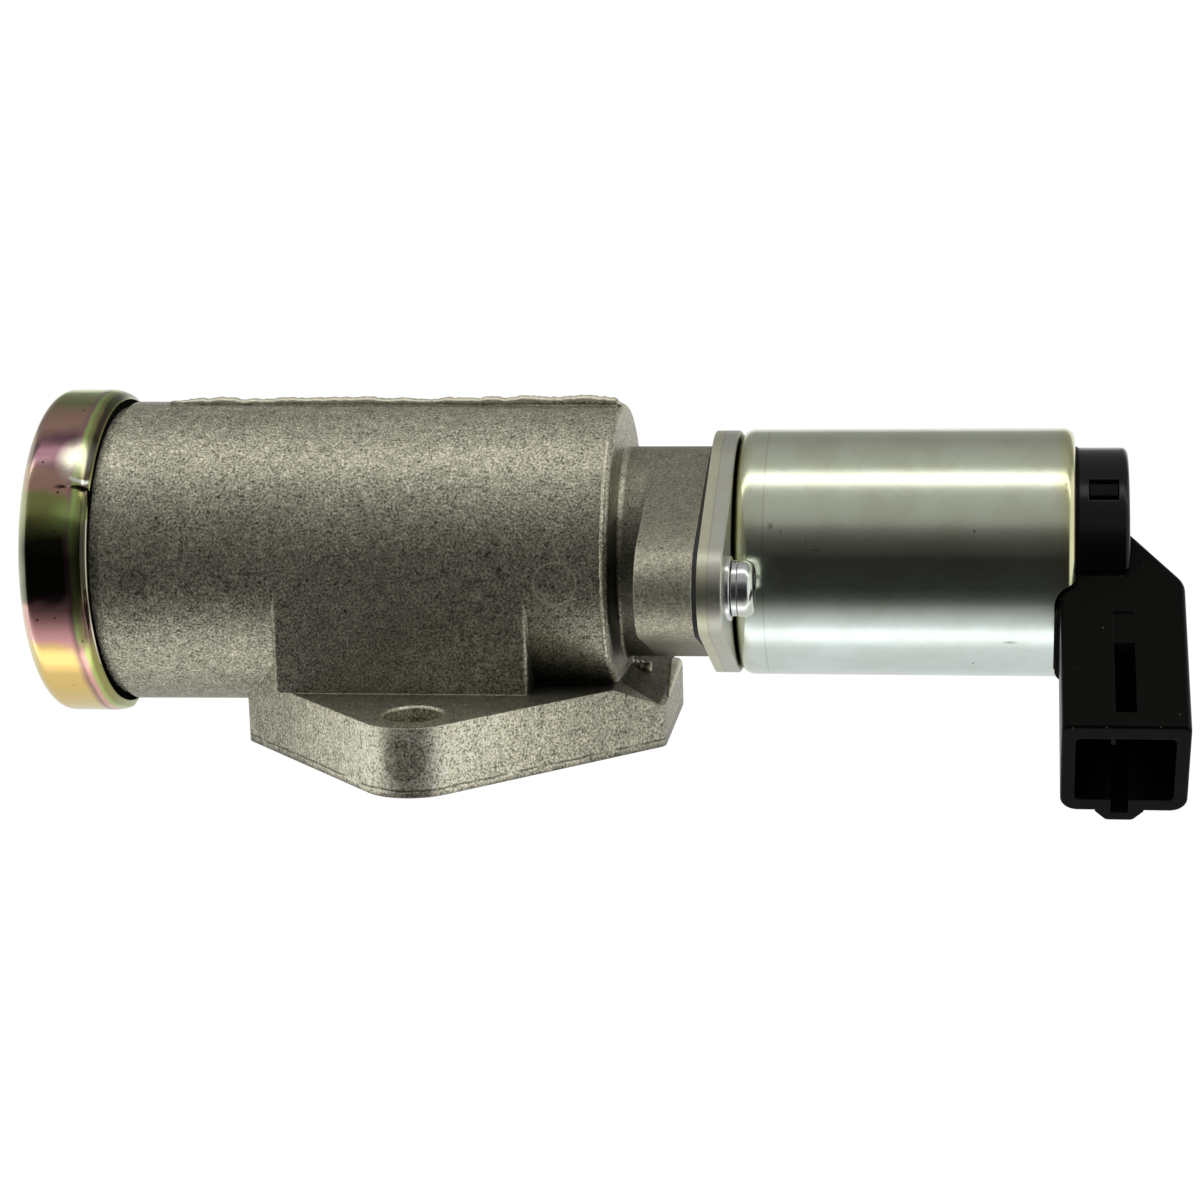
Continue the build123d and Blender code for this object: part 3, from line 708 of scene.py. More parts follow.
# %% [markdown]
# ## Yellow chromate on the cap
# Zinc plate is dipped in chromate to keep it from rusting. The film is as thin as light waves, so its
# colour runs through gold, pink, mauve and green as its thickness changes. On the cup the film changes
# slowly round the axis, and faster over the crimp's bend, which turns yellow-green. The angle round
# the axis reads one ramp, the distance along it another. The flat end has clouds of the same colours.

# %% Colours of the film
gold = (0.90, 0.64, 0.23)
straw = (0.80, 0.70, 0.32)
pink = (0.92, 0.46, 0.46)
mauve = (0.36, 0.20, 0.22)
plum = (0.20, 0.105, 0.125)
rose_brown = (0.50, 0.30, 0.23)
olive = (0.30, 0.32, 0.11)
leaf = (0.46, 0.64, 0.20)
dusk = (0.05, 0.05, 0.03)
pale = (0.92, 0.94, 0.70)
sheet_edge = (0.56, 0.52, 0.40)
film_round = (
    (-180, straw), (-130, leaf), (-90, leaf), (-75, straw), (-44, gold), (-25, gold), (-22, pink),
    (-18, pink), (-14, pink), (-8, pink), (-6, plum), (-4, dusk), (17, dusk), (23, olive), (26, olive),
    (31, olive), (34, rose_brown), (40, rose_brown), (44, mauve), (48, plum), (54, plum), (60, rose_brown),
    (68, rose_brown), (76, olive), (90, leaf), (120, rose_brown), (150, pink), (180, straw),
)
film_upper_rim = ((0.0, rose_brown), (0.25, mauve), (0.45, leaf), (0.7, olive), (0.85, dusk))
film_lower_rim = ((0.0, rose_brown), (0.3, mauve), (0.5, pink), (0.7, leaf), (0.85, olive))
film_clouds = ((0.35, leaf), (0.47, straw), (0.55, pale), (0.65, pink))
print(f"{len(film_round)} colours round the cup")

# %% Film round the cup
bend_x = cap_low.x + 8.9 * MM
edge_x = bend_x + 1.2 * MM
rim_film_x = bend_x - 1.8 * MM
rim_film_fade = 0.9 * MM
rim_film_share = 0.85
rim_turn = (radians(-20), radians(-26))
drift_size = 7 * MM
drift_turn = 0.3
drift_length = 4 * MM


def film_by_place(tree, place, parts, angle):
    """Film by the angle round the cup and over the crimp's bend; also the place along it and the bend."""
    drift = times(tree, calc(tree, "SUBTRACT", grain(tree, place, drift_size), 0.5), drift_turn)
    film = turn_ramp(tree, calc(tree, "ADD", angle, drift), film_round)
    along = calc(tree, "ADD", parts["X"], times(tree, drift, drift_length))
    bend = step(tree, along, rim_film_x, rim_film_x + rim_film_fade)
    across = step(tree, along, rim_film_x, edge_x)
    upper = ramp(tree, across, *film_upper_rim)
    lower = ramp(tree, across, *film_lower_rim)
    rim_film = mixed(tree, step(tree, angle, *rim_turn), upper, lower)
    return mixed(tree, times(tree, bend, rim_film_share), film, rim_film), along, bend


print(f"crimp bends at X {bend_x / MM:.1f} mm")

# %% Film on the dents
dent_bright = (-1.2, 17.0, 3.0)
dent_green = (-1.6, 9.6, 2.8)
dent_share = 0.8
cap_front = 5 * MM
glint_start = Vector((bend_x / MM - 1.6, 0, 14.9)) * MM
glint_end = Vector((edge_x / MM + 0.2, 0, 13.8)) * MM
glint_width = 0.35 * MM
glint_colour = (1, 1, 0.9)


def film_on_dents(tree, centred, front, film):
    """Pale film, partly a painted highlight, and green film on the dents by the front pinch; a painted glint
    on its fold.
    """
    near_side = calc(tree, "GREATER_THAN", front, cap_front)
    for (x, z, reach), colour in ((dent_bright, pale), (dent_green, leaf)):
        away = distance_from(tree, centred, bend_x + x * MM, z * MM)
        in_dent = times(tree, step(tree, away, reach * MM, 0.0), near_side, dent_share)
        film = mixed(tree, in_dent, film, colour)
    # painted glint along the pinch's fold
    glint = segment(tree, centred, glint_start, glint_end, glint_width)
    return mixed(tree, times(tree, glint, near_side), film, glint_colour)


print(f"glint {(glint_end - glint_start).length / MM:.1f} mm long")

# %% Yellow chromate
cap_r = (cap_high.z - cap_low.z) / 2
corner_x = cap_low.x + 2.0 * MM
corner_share = 0.7
face_start, face_full = cap_low.x + 0.3 * MM, cap_low.x + 0.02 * MM
cloud_size = 14 * MM
edge_fade = 0.08 * MM
bare_zone = {"Z": (-13.0, 9.0)}
turned_in_start, turned_in_full = cap_r - 1.45 * MM, cap_r - 1.5 * MM
turned_in_black = (0.012, 0.012, 0.010)
cap_speck = (0.06, 0.05, 0.03)
cap_speck_spacing = 2.6 * MM


def bump(tree, shader, height, depth, strength):
    """Feeds a height pattern to the shader's normal."""
    node = add(tree, "Bump", {"Height": height, "Distance": depth, "Strength": strength})
    feed(tree, node.outputs["Normal"], shader, "Normal")


def chromate():
    """Iridescent film with painted highlights, worn off at the sheet's edge, black where the rim turns in.
    """
    material, tree, shader, place = start_finish("yellow_chromate", straw, 0.1, 1.0)
    centred, parts, front, angle = around_axis(tree, place)
    film, along, bend = film_by_place(tree, place, parts, angle)
    film = film_on_dents(tree, centred, front, film)
    # painted highlight: the cup's rounded corner is painted pale
    film = mixed(tree, times(tree, step(tree, along, corner_x, cap_low.x), corner_share), film, pale)
    face_film = ramp(tree, grain(tree, place, cloud_size), *film_clouds)
    film = mixed(tree, step(tree, parts["X"], face_start, face_full), film, face_film)
    bare = mixed(tree, inside(tree, parts, bare_zone), olive, sheet_edge)
    film = mixed(tree, step(tree, parts["X"], edge_x, edge_x + edge_fade), film, bare)
    # black on the rim's turned-in face, behind the sheet's edge, also rough and without shine
    turned_in = times(tree, step(tree, from_axis(tree, centred), turned_in_start, turned_in_full), bend)
    film = mixed(tree, turned_in, film, turned_in_black)
    film = mixed(tree, step(tree, cells(tree, place, cap_speck_spacing), 0.1, 0.05), film, cap_speck)
    feed(tree, film, shader, "Base Color")
    fine = grain(tree, place, 0.5 * MM)
    feed(tree, most(tree, between(tree, fine, 0.05, 0.12), turned_in), shader, "Roughness")
    feed(tree, mixed(tree, turned_in, white, grey(0)), shader, "Specular Tint")
    bump(tree, shader, fine, 0.015 * MM, 0.3)
    return material


cap_film = chromate()
print("made", cap_film.name)

# %% [markdown]
# ## Pressed and crimped cap
# The cap is a cup pressed from thin sheet. Its rim is rolled in behind the casting's lip, and three
# pinches keep it from turning. The solid has plain round dents there, so the cup is pressed again here:
# a ring of points is extruded from station to station, as a press draws the sheet. At three places the
# rim is then folded with soft selection: one side of the fold is hidden while the other is pushed.

# %% Press the cup
cup_sides = 480
corner_r = 2.1 * MM
bend_start = bend_x - 1.4 * MM
bend_drop = 1.65 * MM
bend_share = 0.97
corner_steps = 8
band_steps = 14
rim_steps = 10


def next_ring(x, radius):
    """Extrudes the open edge to a new station along the axis and to a new radius."""
    bpy.ops.mesh.extrude_region_move(TRANSFORM_OT_translate={"value": (x - ring_at[0], 0, 0)})
    grow = radius / ring_at[1]
    bpy.ops.transform.resize(value=(1, grow, grow), center_override=(x, 0, axis_z))
    ring_at[:] = [x, radius]


ring_at = [cap_low.x, cap_r - corner_r]
bpy.ops.object.select_all(action="DESELECT")
bpy.ops.mesh.primitive_circle_add(
    vertices=cup_sides, radius=ring_at[1], location=(cap_low.x, 0, axis_z), rotation=(0, pi / 2, 0)
)
cup = bpy.context.object
cup.name = "crimped_cap"
bpy.ops.object.transform_apply(location=True, rotation=True, scale=True)
bpy.ops.object.mode_set(mode="EDIT")
bpy.ops.mesh.select_all(action="SELECT")
for index in range(1, corner_steps + 1):
    turn = pi / 2 * index / corner_steps
    next_ring(cap_low.x + corner_r * (1 - cos(turn)), cap_r - corner_r * (1 - sin(turn)))
band_start = cap_low.x + corner_r
for index in range(1, band_steps + 1):
    next_ring(band_start + (bend_start - band_start) * index / band_steps, cap_r)
for index in range(1, rim_steps + 1):
    share = index / rim_steps
    fall = 1 - (1 - (bend_share * share) ** 2) ** 0.5
    next_ring(bend_start + (edge_x - bend_start) * share, cap_r - bend_drop * fall)
print(f"cup drawn to radius {ring_at[1] / MM:.2f} mm")

# %% Turn the sheet's edge and close the inside
sheet = 0.9 * MM
edge_length = 0.2 * MM
edge_drop = 0.15 * MM
packing_r = 21.75 * MM
same_place = 0.01 * MM

rim_r = ring_at[1]
next_ring(edge_x + edge_length, rim_r - edge_drop)
next_ring(edge_x + edge_length, packing_r)
next_ring(bend_x, cap_r - sheet)
next_ring(cap_low.x + sheet, cap_r - sheet)
bpy.ops.mesh.edge_face_add()
bpy.ops.mesh.select_all(action="DESELECT")
mesh = bmesh.from_edit_mesh(cup.data)
for vert in mesh.verts:
    vert.select = abs(vert.co.x - cap_low.x) < same_place
mesh.select_flush(True)
bmesh.update_edit_mesh(cup.data)
bpy.ops.mesh.edge_face_add()
bpy.ops.mesh.select_all(action="SELECT")
bpy.ops.mesh.normals_make_consistent(inside=False)
print(f"{len(mesh.verts)} points in the cup")

# %% Fold one side of a pinch
def fold_side(spot, outward, upward, depth, reach):
    """Pushes the rim in at a spot; only what lies on the upward side of the spot follows."""
    bpy.ops.mesh.select_all(action="DESELECT")
    mesh = bmesh.from_edit_mesh(cup.data)
    free = []
    for vert in mesh.verts:
        beyond = (vert.co - spot).dot(upward)
        vert.select = beyond < 0
        if beyond >= 0:
            free.append(vert)
    mesh.select_flush(True)
    bmesh.update_edit_mesh(cup.data)
    bpy.ops.mesh.hide(unselected=False)
    mesh = bmesh.from_edit_mesh(cup.data)
    nearest = min(free, key=lambda vert: (vert.co - spot).length)
    nearest.select = True
    mesh.select_flush(True)
    bmesh.update_edit_mesh(cup.data)
    bpy.ops.transform.translate(
        value=outward * -depth,
        use_proportional_edit=True,
        proportional_edit_falloff="SHARP",
        proportional_size=reach,
    )
    bpy.ops.mesh.reveal(select=False)


print("fold helper ready")

# %% Pinch the rim
pinch_angles = [radians(34 + third) for third in (0, 120, 240)]
pinch_x = edge_x - 0.6 * MM
pinch_sides = ((1, -0.36 * MM, 6.0 * MM), (-1, 0.70 * MM, 5.5 * MM))
cap_smooth = radians(35)

for pinch in pinch_angles:
    outward = Vector((0, -cos(pinch), sin(pinch)))
    upward = Vector((0, sin(pinch), cos(pinch)))
    spot = Vector((pinch_x, 0, axis_z)) + outward * cap_r
    for side, depth, reach in pinch_sides:
        fold_side(spot, outward, upward * side, depth, reach)
bpy.ops.object.mode_set(mode="OBJECT")
bpy.ops.object.shade_smooth_by_angle(angle=cap_smooth)
cup.data.materials.append(cap_film)
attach(cup, "housing")
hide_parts("end_cap")
print(f"{cup.name}: {len(cup.data.polygons)} faces, {len(pinch_angles)} pinches")

# %% [markdown]
# ## Flash on the parting line
# Where the die's halves meet, metal squeezes out and is only roughly broken off: along the top of the
# barrel, and under the neck, where the flange slopes down to a lip. The solid has a low plain rib on
# top. Each strip of flash is a small oval section extruded in short steps, and every new section is
# moved and scaled to follow the strip and, a little, by chance.

# %% Strip of flash
chance = random.Random(7)
oval_sides = 12
flash_smooth = radians(60)


def flash_strip(name, sections, slant):
    """Extrudes an oval through sections, each (middle, half height, half width), along one direction."""
    middle, half_height, half_width = sections[0]
    bpy.ops.object.select_all(action="DESELECT")
    bpy.ops.mesh.primitive_circle_add(
        vertices=oval_sides, radius=1.0, fill_type="NGON", rotation=(0, pi / 2, 0)
    )
    strip = bpy.context.object
    strip.name = name
    strip.scale = (half_height, half_width, 1)
    bpy.ops.object.transform_apply(location=True, rotation=True, scale=True)
    strip.rotation_euler = (0, 0, slant)
    strip.location = middle
    bpy.ops.object.transform_apply(location=True, rotation=True, scale=True)
    bpy.ops.object.mode_set(mode="EDIT")
    bpy.ops.mesh.select_all(action="SELECT")
    for next_middle, next_height, next_width in sections[1:]:
        bpy.ops.mesh.extrude_region_move(TRANSFORM_OT_translate={"value": next_middle - middle})
        wider = next_width / half_width
        sides = (1, wider) if slant == 0 else (wider, 1)
        bpy.ops.transform.resize(value=(*sides, next_height / half_height), center_override=next_middle)
        middle, half_height, half_width = next_middle, next_height, next_width
    bpy.ops.mesh.select_all(action="SELECT")
    bpy.ops.mesh.normals_make_consistent(inside=False)
    bpy.ops.object.mode_set(mode="OBJECT")
    bpy.ops.object.shade_smooth_by_angle(angle=flash_smooth)
    strip.data.materials.append(flash_skin)
    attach(strip, "housing")
    print(f"{strip.name}: {len(strip.data.polygons)} faces")


print("flash helper ready")

# %% Flash along the top
rib_top = axis_z + 22.7 * MM
strip_start, strip_end = -41.8, 26.3
strip_steps = 210
strip_sink = 0.1
strip_half = 0.50
lumps = ((-33.0, 1.3, 0.34), (12.5, 1.8, 0.36), (21.0, 2.2, 0.16), (-14.0, 3.0, 0.14))
wander_keep = 0.65
wander_most = 0.1
wave_height = 0.06
wave_steps = 7
fall_start = 25.2
fall_slope = 0.55


def bulge(x, centre, reach):
    """A smooth lump, 1 at its centre."""
    return exp(-(((x - centre) / reach) ** 2))


wander = 0.0
sections = []
for index in range(strip_steps + 1):
    x = strip_start + (strip_end - strip_start) * index / strip_steps
    wander = wander_keep * wander + chance.uniform(-wander_most, wander_most)
    rise = wave_height * sin(index / wave_steps) + wander
    rise += sum(height * bulge(x, centre, reach) for centre, reach, height in lumps)
    taper = min(1.0, 0.25 + 0.2 * (x - strip_start), 0.45 + 0.6 * (strip_end - x))
    fall = fall_slope * max(0.0, x - fall_start)
    aside = chance.uniform(-0.05, 0.05) * MM
    middle = Vector((x * MM, aside, rib_top + (rise * 0.6 - fall - strip_sink) * MM))
    half_height = (strip_half + rise * 0.5) * taper * MM
    sections.append((middle, half_height, chance.uniform(0.72, 0.88) * taper * MM))
flash_strip("parting_flash", sections, 0)

# %% Flash under the neck
slope_start, slope_end = 26.4, 33.1
slope_high, slope_low = 10.0, 5.95
fin_start, fin_end = 26.5, 29.7
fin_top = 9.75
fin_slope = 0.1
fin_root = 0.3
fin_steps = 14

sections = []
for index in range(fin_steps + 1):
    x = fin_start + (fin_end - fin_start) * index / fin_steps
    slope_z = slope_high - (x - slope_start) * (slope_high - slope_low) / (slope_end - slope_start)
    top = fin_top - fin_slope * (x - fin_start) + chance.uniform(-0.15, 0.15)
    middle = Vector((x, 0, (slope_z - fin_root + top) / 2)) * MM
    sections.append((middle, (top - slope_z + fin_root) / 2 * MM, chance.uniform(0.9, 1.3) * MM))
flash_strip("slope_flash", sections, 0)

# %% [markdown]
# The barrel's end is trimmed with a tool that leaves a fine burr round the edge. A small ring of points
# is spun round the axis for part of a turn, and its points are then moved a little at random, with a
# fixed seed, so that the burr looks torn and is the same each time.

# %% Burr round the barrel's end
burr_r = 0.28 * MM
burr_sides = 8
burr_start, burr_end = radians(-30), radians(56)
burr_steps = 180
burr_torn = 0.12 * MM
barrel_r = 22.3 * MM

bpy.ops.object.select_all(action="DESELECT")
bpy.ops.mesh.primitive_circle_add(vertices=burr_sides, radius=burr_r)
burr = bpy.context.object
burr.name = "barrel_burr"
burr.rotation_euler = (-burr_start, 0, 0)
burr.location = (barrel_end, -barrel_r * cos(burr_start), axis_z + barrel_r * sin(burr_start))
bpy.ops.object.transform_apply(location=True, rotation=True, scale=True)
bpy.ops.object.mode_set(mode="EDIT")
bpy.ops.mesh.select_all(action="SELECT")
bpy.ops.mesh.spin(
    steps=burr_steps, angle=burr_end - burr_start, center=(barrel_end, 0, axis_z), axis=(1, 0, 0)
)
bpy.ops.mesh.select_all(action="SELECT")
bpy.ops.mesh.fill_holes(sides=0)
bpy.ops.transform.vertex_random(offset=burr_torn, uniform=0.5, normal=0.3, seed=5)
bpy.ops.mesh.normals_make_consistent(inside=False)
bpy.ops.object.mode_set(mode="OBJECT")
bpy.ops.object.shade_smooth_by_angle(angle=flash_smooth)
burr.data.materials.append(flash_skin)
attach(burr, "housing")
burr_bottom = min(point.co.z for point in burr.data.vertices)
print(f"{burr.name}: {len(burr.data.polygons)} faces, Z {burr_bottom / MM:.1f} mm up")

# %% [markdown]
# The flange's slope ends in a lip, which is one more strip of flash. It runs across the valve, and gets
# wider and higher towards the back.

# %% Lip at the flange's end
lip_near, lip_far = -6.5, 11.5
lip_steps = 24
lip_half = 0.15
lip_widens = 0.85
lip_top = 6.3
lip_rises = 1.1
lip_root = 0.5
lip_inset = 0.03

sections = []
for index in range(lip_steps + 1):
    share = index / lip_steps
    y = lip_near + (lip_far - lip_near) * share
    half_width = lip_half + lip_widens * share
    top = lip_top + lip_rises * share + chance.uniform(-0.12, 0.12)
    middle = Vector((slope_end - lip_inset - half_width, y, (slope_low - lip_root + top) / 2)) * MM
    sections.append((middle, (top - slope_low + lip_root) / 2 * MM, half_width * MM))
flash_strip("flange_lip", sections, pi / 2)

# %% [markdown]
# ## Bright zinc
# The can is drawn from sheet and plated bright, so it mirrors the room a little blurred, with a faint
# ring from drawing, small stains, a few knocks and a yellow tint towards both ends.

# %% Drawn can
can_tone = ((0.35, (0.76, 0.77, 0.74)), (0.6, (0.83, 0.85, 0.84)))
can_turn_tint = ((0.36, (0.92, 1.0, 0.97)), (0.46, (0.93, 1.0, 0.86)), (0.6, (0.96, 1.0, 0.80)))
can_end_tint = ((0.02, (0.80, 0.72, 0.46)), (0.09, white), (0.93, white), (0.98, (0.92, 0.86, 0.66)))
can_ring_x = can_low.x + 4.5 * MM
can_ring_width = 0.2 * MM
can_ring_share = 0.3
can_dark = (0.12, 0.12, 0.10)
can_dark_share = 0.75
knocks = ((49.1, 23.7, 0.5, 2.2), (50.6, 21.0, 0.12, 1.6), (55.6, 12.9, 0.9, 0.5), (82.7, -33.0, 1.3, 1.2))


def drawn_zinc():
    """Bright plate on a drawn can; a knock is (x, degrees round, half length, half width in degrees)."""
    material, tree, shader, place = start_finish("drawn_bright_zinc", (0.78, 0.79, 0.77), 0.2, 1.0)
    _, parts, _, angle = around_axis(tree, place)
    stain = grain(tree, place, 9 * MM, detail=3.0, rough=0.6)
    tone = ramp(tree, stain, *can_tone)
    tone = tinted(tree, tone, ramp(tree, step(tree, angle, -pi / 2, pi / 2), *can_turn_tint))
    drifted = calc(tree, "ADD", parts["X"], times(tree, stain, 3 * MM))
    along = step(tree, drifted, can_low.x, can_high.x + 1.5 * MM)
    tone = tinted(tree, tone, ramp(tree, along, *can_end_tint))
    marks = [times(tree, line(tree, parts["X"], can_ring_x, can_ring_width), can_ring_share)]
    for x, degrees, half_length, half_width in knocks:
        mark = line(tree, parts["X"], x * MM, half_length * MM)
        marks.append(times(tree, mark, line(tree, angle, radians(degrees), radians(half_width))))
    marks.append(step(tree, cells(tree, place, 4.2 * MM), 0.06, 0.03))
    tone = mixed(tree, times(tree, most(tree, *marks), can_dark_share), tone, can_dark)
    # painted shade in the can's corners
    corner_shade_tint = painted_corner_shade(tree, 1.0 * MM, (0.2, 0.2, 0.17), 0.1, 0.6)
    feed(tree, tinted(tree, tone, corner_shade_tint), shader, "Base Color")
    fine = grain(tree, place, 0.7 * MM, detail=3.0)
    feed(tree, between(tree, fine, 0.12, 0.22), shader, "Roughness")
    bump(tree, shader, fine, 0.01 * MM, 0.3)
    return material


can_zinc = drawn_zinc()
print("made", can_zinc.name)

# %% [markdown]
# The mounting plate is blanked from thick sheet. A punch leaves two bands on the cut edge, first sheared
# smooth and then torn, and the plating takes a yellow-green tint on the torn one. The screws and their
# washers are smoother, with painted shade in the gaps between them.

# %% Blanked plate
plate_low, plate_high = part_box("mounting_plate")
plate_bands = ((0.36, (0.68, 0.69, 0.53)), (0.42, (0.52, 0.53, 0.42)), (0.47, (0.62, 0.64, 0.56)))
plate_blush = ((0.40, white), (0.60, (1.0, 0.95, 0.92)))
plate_drift = 0.3 * MM


def blanked_zinc():
    """Plated plate whose cut edge has a torn and a sheared band."""
    material, tree, shader, place = start_finish("blanked_zinc", (0.70, 0.71, 0.66), 0.34, 1.0)
    parts = add(tree, "SeparateXYZ", {"Vector": place}).outputs
    stain = grain(tree, place, 4 * MM, detail=3.0, rough=0.6)
    drift = times(tree, calc(tree, "SUBTRACT", stain, 0.5), plate_drift)
    across = step(tree, calc(tree, "ADD", parts["X"], drift), plate_low.x, plate_high.x)
    tone = tinted(tree, ramp(tree, across, *plate_bands), ramp(tree, stain, *plate_blush))
    # painted shade in the plate's corners
    corner_shade_tint = painted_corner_shade(tree, 1.5 * MM, (0.12, 0.12, 0.09), 0.1, 0.6)
    feed(tree, tinted(tree, tone, corner_shade_tint), shader, "Base Color")
    fine = grain(tree, place, 0.6 * MM, detail=3.0)
    feed(tree, between(tree, fine, 0.36, 0.54), shader, "Roughness")
    bump(tree, shader, fine, 0.03 * MM, 0.4)
    return material


plate_zinc = blanked_zinc()
print("made", plate_zinc.name)

# %% Screws and washers
screw_tone = ((0.35, (0.70, 0.73, 0.64)), (0.6, (0.82, 0.84, 0.84)))


def hardware_zinc():
    """Smooth plate on screws and washers."""
    material, tree, shader, place = start_finish("hardware_zinc", (0.78, 0.80, 0.78), 0.15, 1.0)
    tone = ramp(tree, grain(tree, place, 3 * MM, detail=3.0), *screw_tone)
    # painted shade in the gaps between screws and washers
    corner_shade_tint = painted_corner_shade(tree, 0.8 * MM, (0.06, 0.06, 0.05), 0.15, 0.7)
    feed(tree, tinted(tree, tone, corner_shade_tint), shader, "Base Color")
    fine = grain(tree, place, 0.6 * MM, detail=3.0)
    feed(tree, between(tree, fine, 0.10, 0.20), shader, "Roughness")
    round_edges(tree, shader, fine, 0.02 * MM, 0.3, 0.2 * MM)
    return material


screw_zinc = hardware_zinc()
print("made", screw_zinc.name)

# %% [markdown]
# ## Black plastic
# The connector and the vent cap are moulded in glass-filled black plastic: almost black, satin, with
# a fine texture and a few specks of dust. The connector is the more matt of the two, and its socket
# hardly shines at all, so the gloss goes down wherever the surroundings are close.

# %% Black plastic
soot = (0.0018, 0.0024, 0.0013)
dust = (0.07, 0.07, 0.06)
dust_spacing = 2.8 * MM
worn_and_lit_black = (0.016, 0.017, 0.014)
worn_and_lit_share = 0.5
hidden_rough = 0.95


def moulded_black(name, gloss, rough_low, rough_high):
    """Dark plastic of a given specular level and roughness."""
    material, tree, shader, place = start_finish(name, soot, rough_low)
    dusty = ramp(tree, cells(tree, place, dust_spacing), (0.035, dust), (0.06, soot))
    # edges lighter for wear and as a painted highlight
    worn_and_lit_edges = times(tree, edges(tree, 0.3 * MM), worn_and_lit_share)
    feed(tree, mixed(tree, worn_and_lit_edges, dusty, worn_and_lit_black), shader, "Base Color")
    shader.inputs["Specular IOR Level"].default_value = gloss
    fine = grain(tree, place, 0.35 * MM)
    hidden = times(tree, step(tree, crevice(tree, 12 * MM), 0.75, 0.35), hidden_rough)
    feed(tree, most(tree, between(tree, fine, rough_low, rough_high), hidden), shader, "Roughness")
    round_edges(tree, shader, fine, 0.015 * MM, 0.3, 0.35 * MM)
    return material


plastic = moulded_black("connector_plastic", 0.05, 0.24, 0.38)
vent_plastic = moulded_black("vent_plastic", 0.25, 0.07, 0.13)
print("made", plastic.name, vent_plastic.name)

# %% [markdown]
# ## Inner pieces
# Inside are turned steel, bronze, copper wire, a pale bobbin, rubber and foam. They show in the ports
# and in cut-away views, so they get simple finishes of their own, each with its own grain.

# %% Inner finishes
rough_spread = 0.08
metal, not_metal = 1.0, 0.0


def speckled(name, dark, light, roughness, metallic, size, depth):
    """A finish with one grain: colour between two tones, roughness that follows it, and a fine bump."""
    material, tree, shader, place = start_finish(name, light, roughness, metallic)
    spots = grain(tree, place, size * MM, detail=3.0)
    feed(tree, ramp(tree, spots, (0.35, dark), (0.65, light)), shader, "Base Color")
    feed(tree, between(tree, spots, roughness - rough_spread, roughness + rough_spread), shader, "Roughness")
    bump(tree, shader, spots, depth * MM, 0.4)
    return material


steel = speckled("turned_steel", grey(0.42), grey(0.58), 0.35, metal, 0.5, 0.01)
bronze = speckled("sintered_bronze", (0.42, 0.28, 0.12), (0.62, 0.45, 0.22), 0.45, metal, 0.3, 0.02)
copper = speckled("enamelled_copper", (0.42, 0.17, 0.07), (0.62, 0.28, 0.13), 0.35, metal, 0.4, 0.03)
tin = speckled("tinned_brass", (0.58, 0.57, 0.52), (0.74, 0.73, 0.68), 0.35, metal, 0.6, 0.01)
bobbin = speckled("pale_nylon", (0.55, 0.53, 0.46), (0.66, 0.64, 0.57), 0.5, not_metal, 0.8, 0.01)
rubber = speckled("black_rubber", grey(0.012), grey(0.025), 0.7, not_metal, 0.6, 0.03)
foam = speckled("grey_foam", grey(0.03), grey(0.12), 0.9, not_metal, 0.5, 0.2)
disc_metal = speckled("turned_aluminium", grey(0.58), grey(0.72), 0.35, metal, 0.5, 0.01)
print("inner finishes ready")

# %% [markdown]
# ## Return spring
# The spring that pushes the plunger back gets shorter as the plunger comes in, which a solid can't show.
# So it is wound again here: one round section of wire is swept along a screw line.

# %% Wind the spring
spring_low, spring_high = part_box("return_spring")
spring_length = spring_high.x - spring_low.x
spring_turns = 6
spring_smooth = radians(50)
wire_r = 0.275 * MM
wire_sides = 10
turn_steps = 24
coil_r = (spring_high.z - spring_low.z) / 2 - wire_r

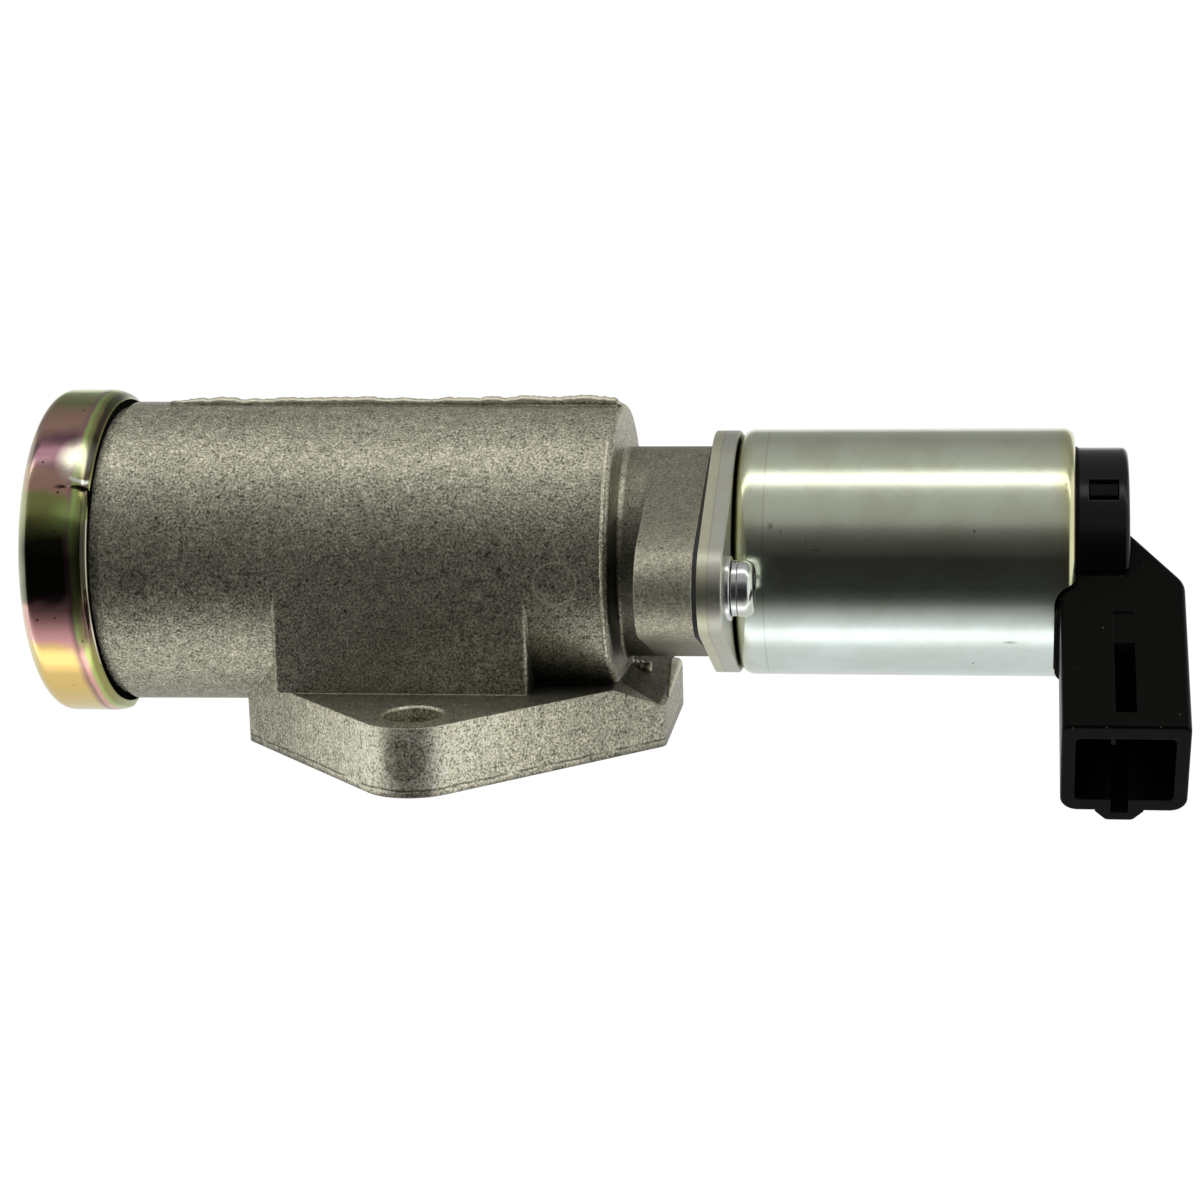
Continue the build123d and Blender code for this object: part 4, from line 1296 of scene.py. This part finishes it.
bpy.ops.object.select_all(action="DESELECT")
bpy.ops.mesh.primitive_circle_add(
    vertices=wire_sides, radius=wire_r, location=(0, 0, coil_r), rotation=(pi / 2, 0, 0)
)
spring = bpy.context.object
spring.name = "coiled_spring"
bpy.ops.object.transform_apply(location=True, rotation=True, scale=True)
spring.location = (spring_low.x + wire_r, 0, axis_z)
winding = spring.modifiers.new("winding", "SCREW")
winding.axis = "X"
winding.screw_offset = (spring_length - 2 * wire_r) / spring_turns
winding.iterations = spring_turns
winding.steps = turn_steps
winding.render_steps = turn_steps
bpy.ops.object.modifier_apply(modifier=winding.name)
bpy.ops.object.transform_apply(location=True, rotation=True, scale=True)
bpy.ops.object.mode_set(mode="EDIT")
bpy.ops.mesh.select_all(action="SELECT")
bpy.ops.mesh.fill_holes(sides=0)
bpy.ops.mesh.normals_make_consistent(inside=False)
bpy.ops.object.mode_set(mode="OBJECT")
bpy.ops.object.shade_smooth_by_angle(angle=spring_smooth)
spring_x = [point.co.x / MM for point in spring.data.vertices]
print(f"{spring.name}: {len(spring.data.polygons)} faces, X {min(spring_x):.2f} to {max(spring_x):.2f} mm")

# %% Finish and attach the spring
spring.data.materials.append(steel)
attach(spring, "housing")
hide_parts("return_spring")
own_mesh(spring)

# %% [markdown]
# ## Finish of each piece
# The solids keep their shapes and only swap their plain material for a finish from above. One list says
# which piece has which finish, and the print shows any piece that was forgotten.

# %% Finish of each node
finishes = {
    cast_skin: ["valve_body"],
    cap_film: ["end_cap"],
    can_zinc: ["solenoid_can"],
    plate_zinc: ["mounting_plate"],
    screw_zinc: ["plate_screws", "flat_washers", "spring_washers"],
    plastic: ["connector_housing"],
    vent_plastic: ["vent_cap"],
    steel: [
        "front_pole", "rear_core", "adjusting_screw", "return_spring",
        "armature", "valve_rod", "rod_clip",
    ],
    bronze: ["front_bush", "rear_bush"],
    copper: ["coil_winding"],
    tin: ["terminal_blades"],
    bobbin: ["coil_bobbin"],
    rubber: ["end_cap_seal", "solenoid_gasket", "valve_seal"],
    foam: ["vent_filter"],
    disc_metal: ["valve_disc"],
}
for finish, names in finishes.items():
    for name in names:
        nodes[name].data.materials.clear()
        nodes[name].data.materials.append(finish)
unfinished = sorted(set(nodes) - {name for names in finishes.values() for name in names})
print("nodes without a finish:", unfinished)
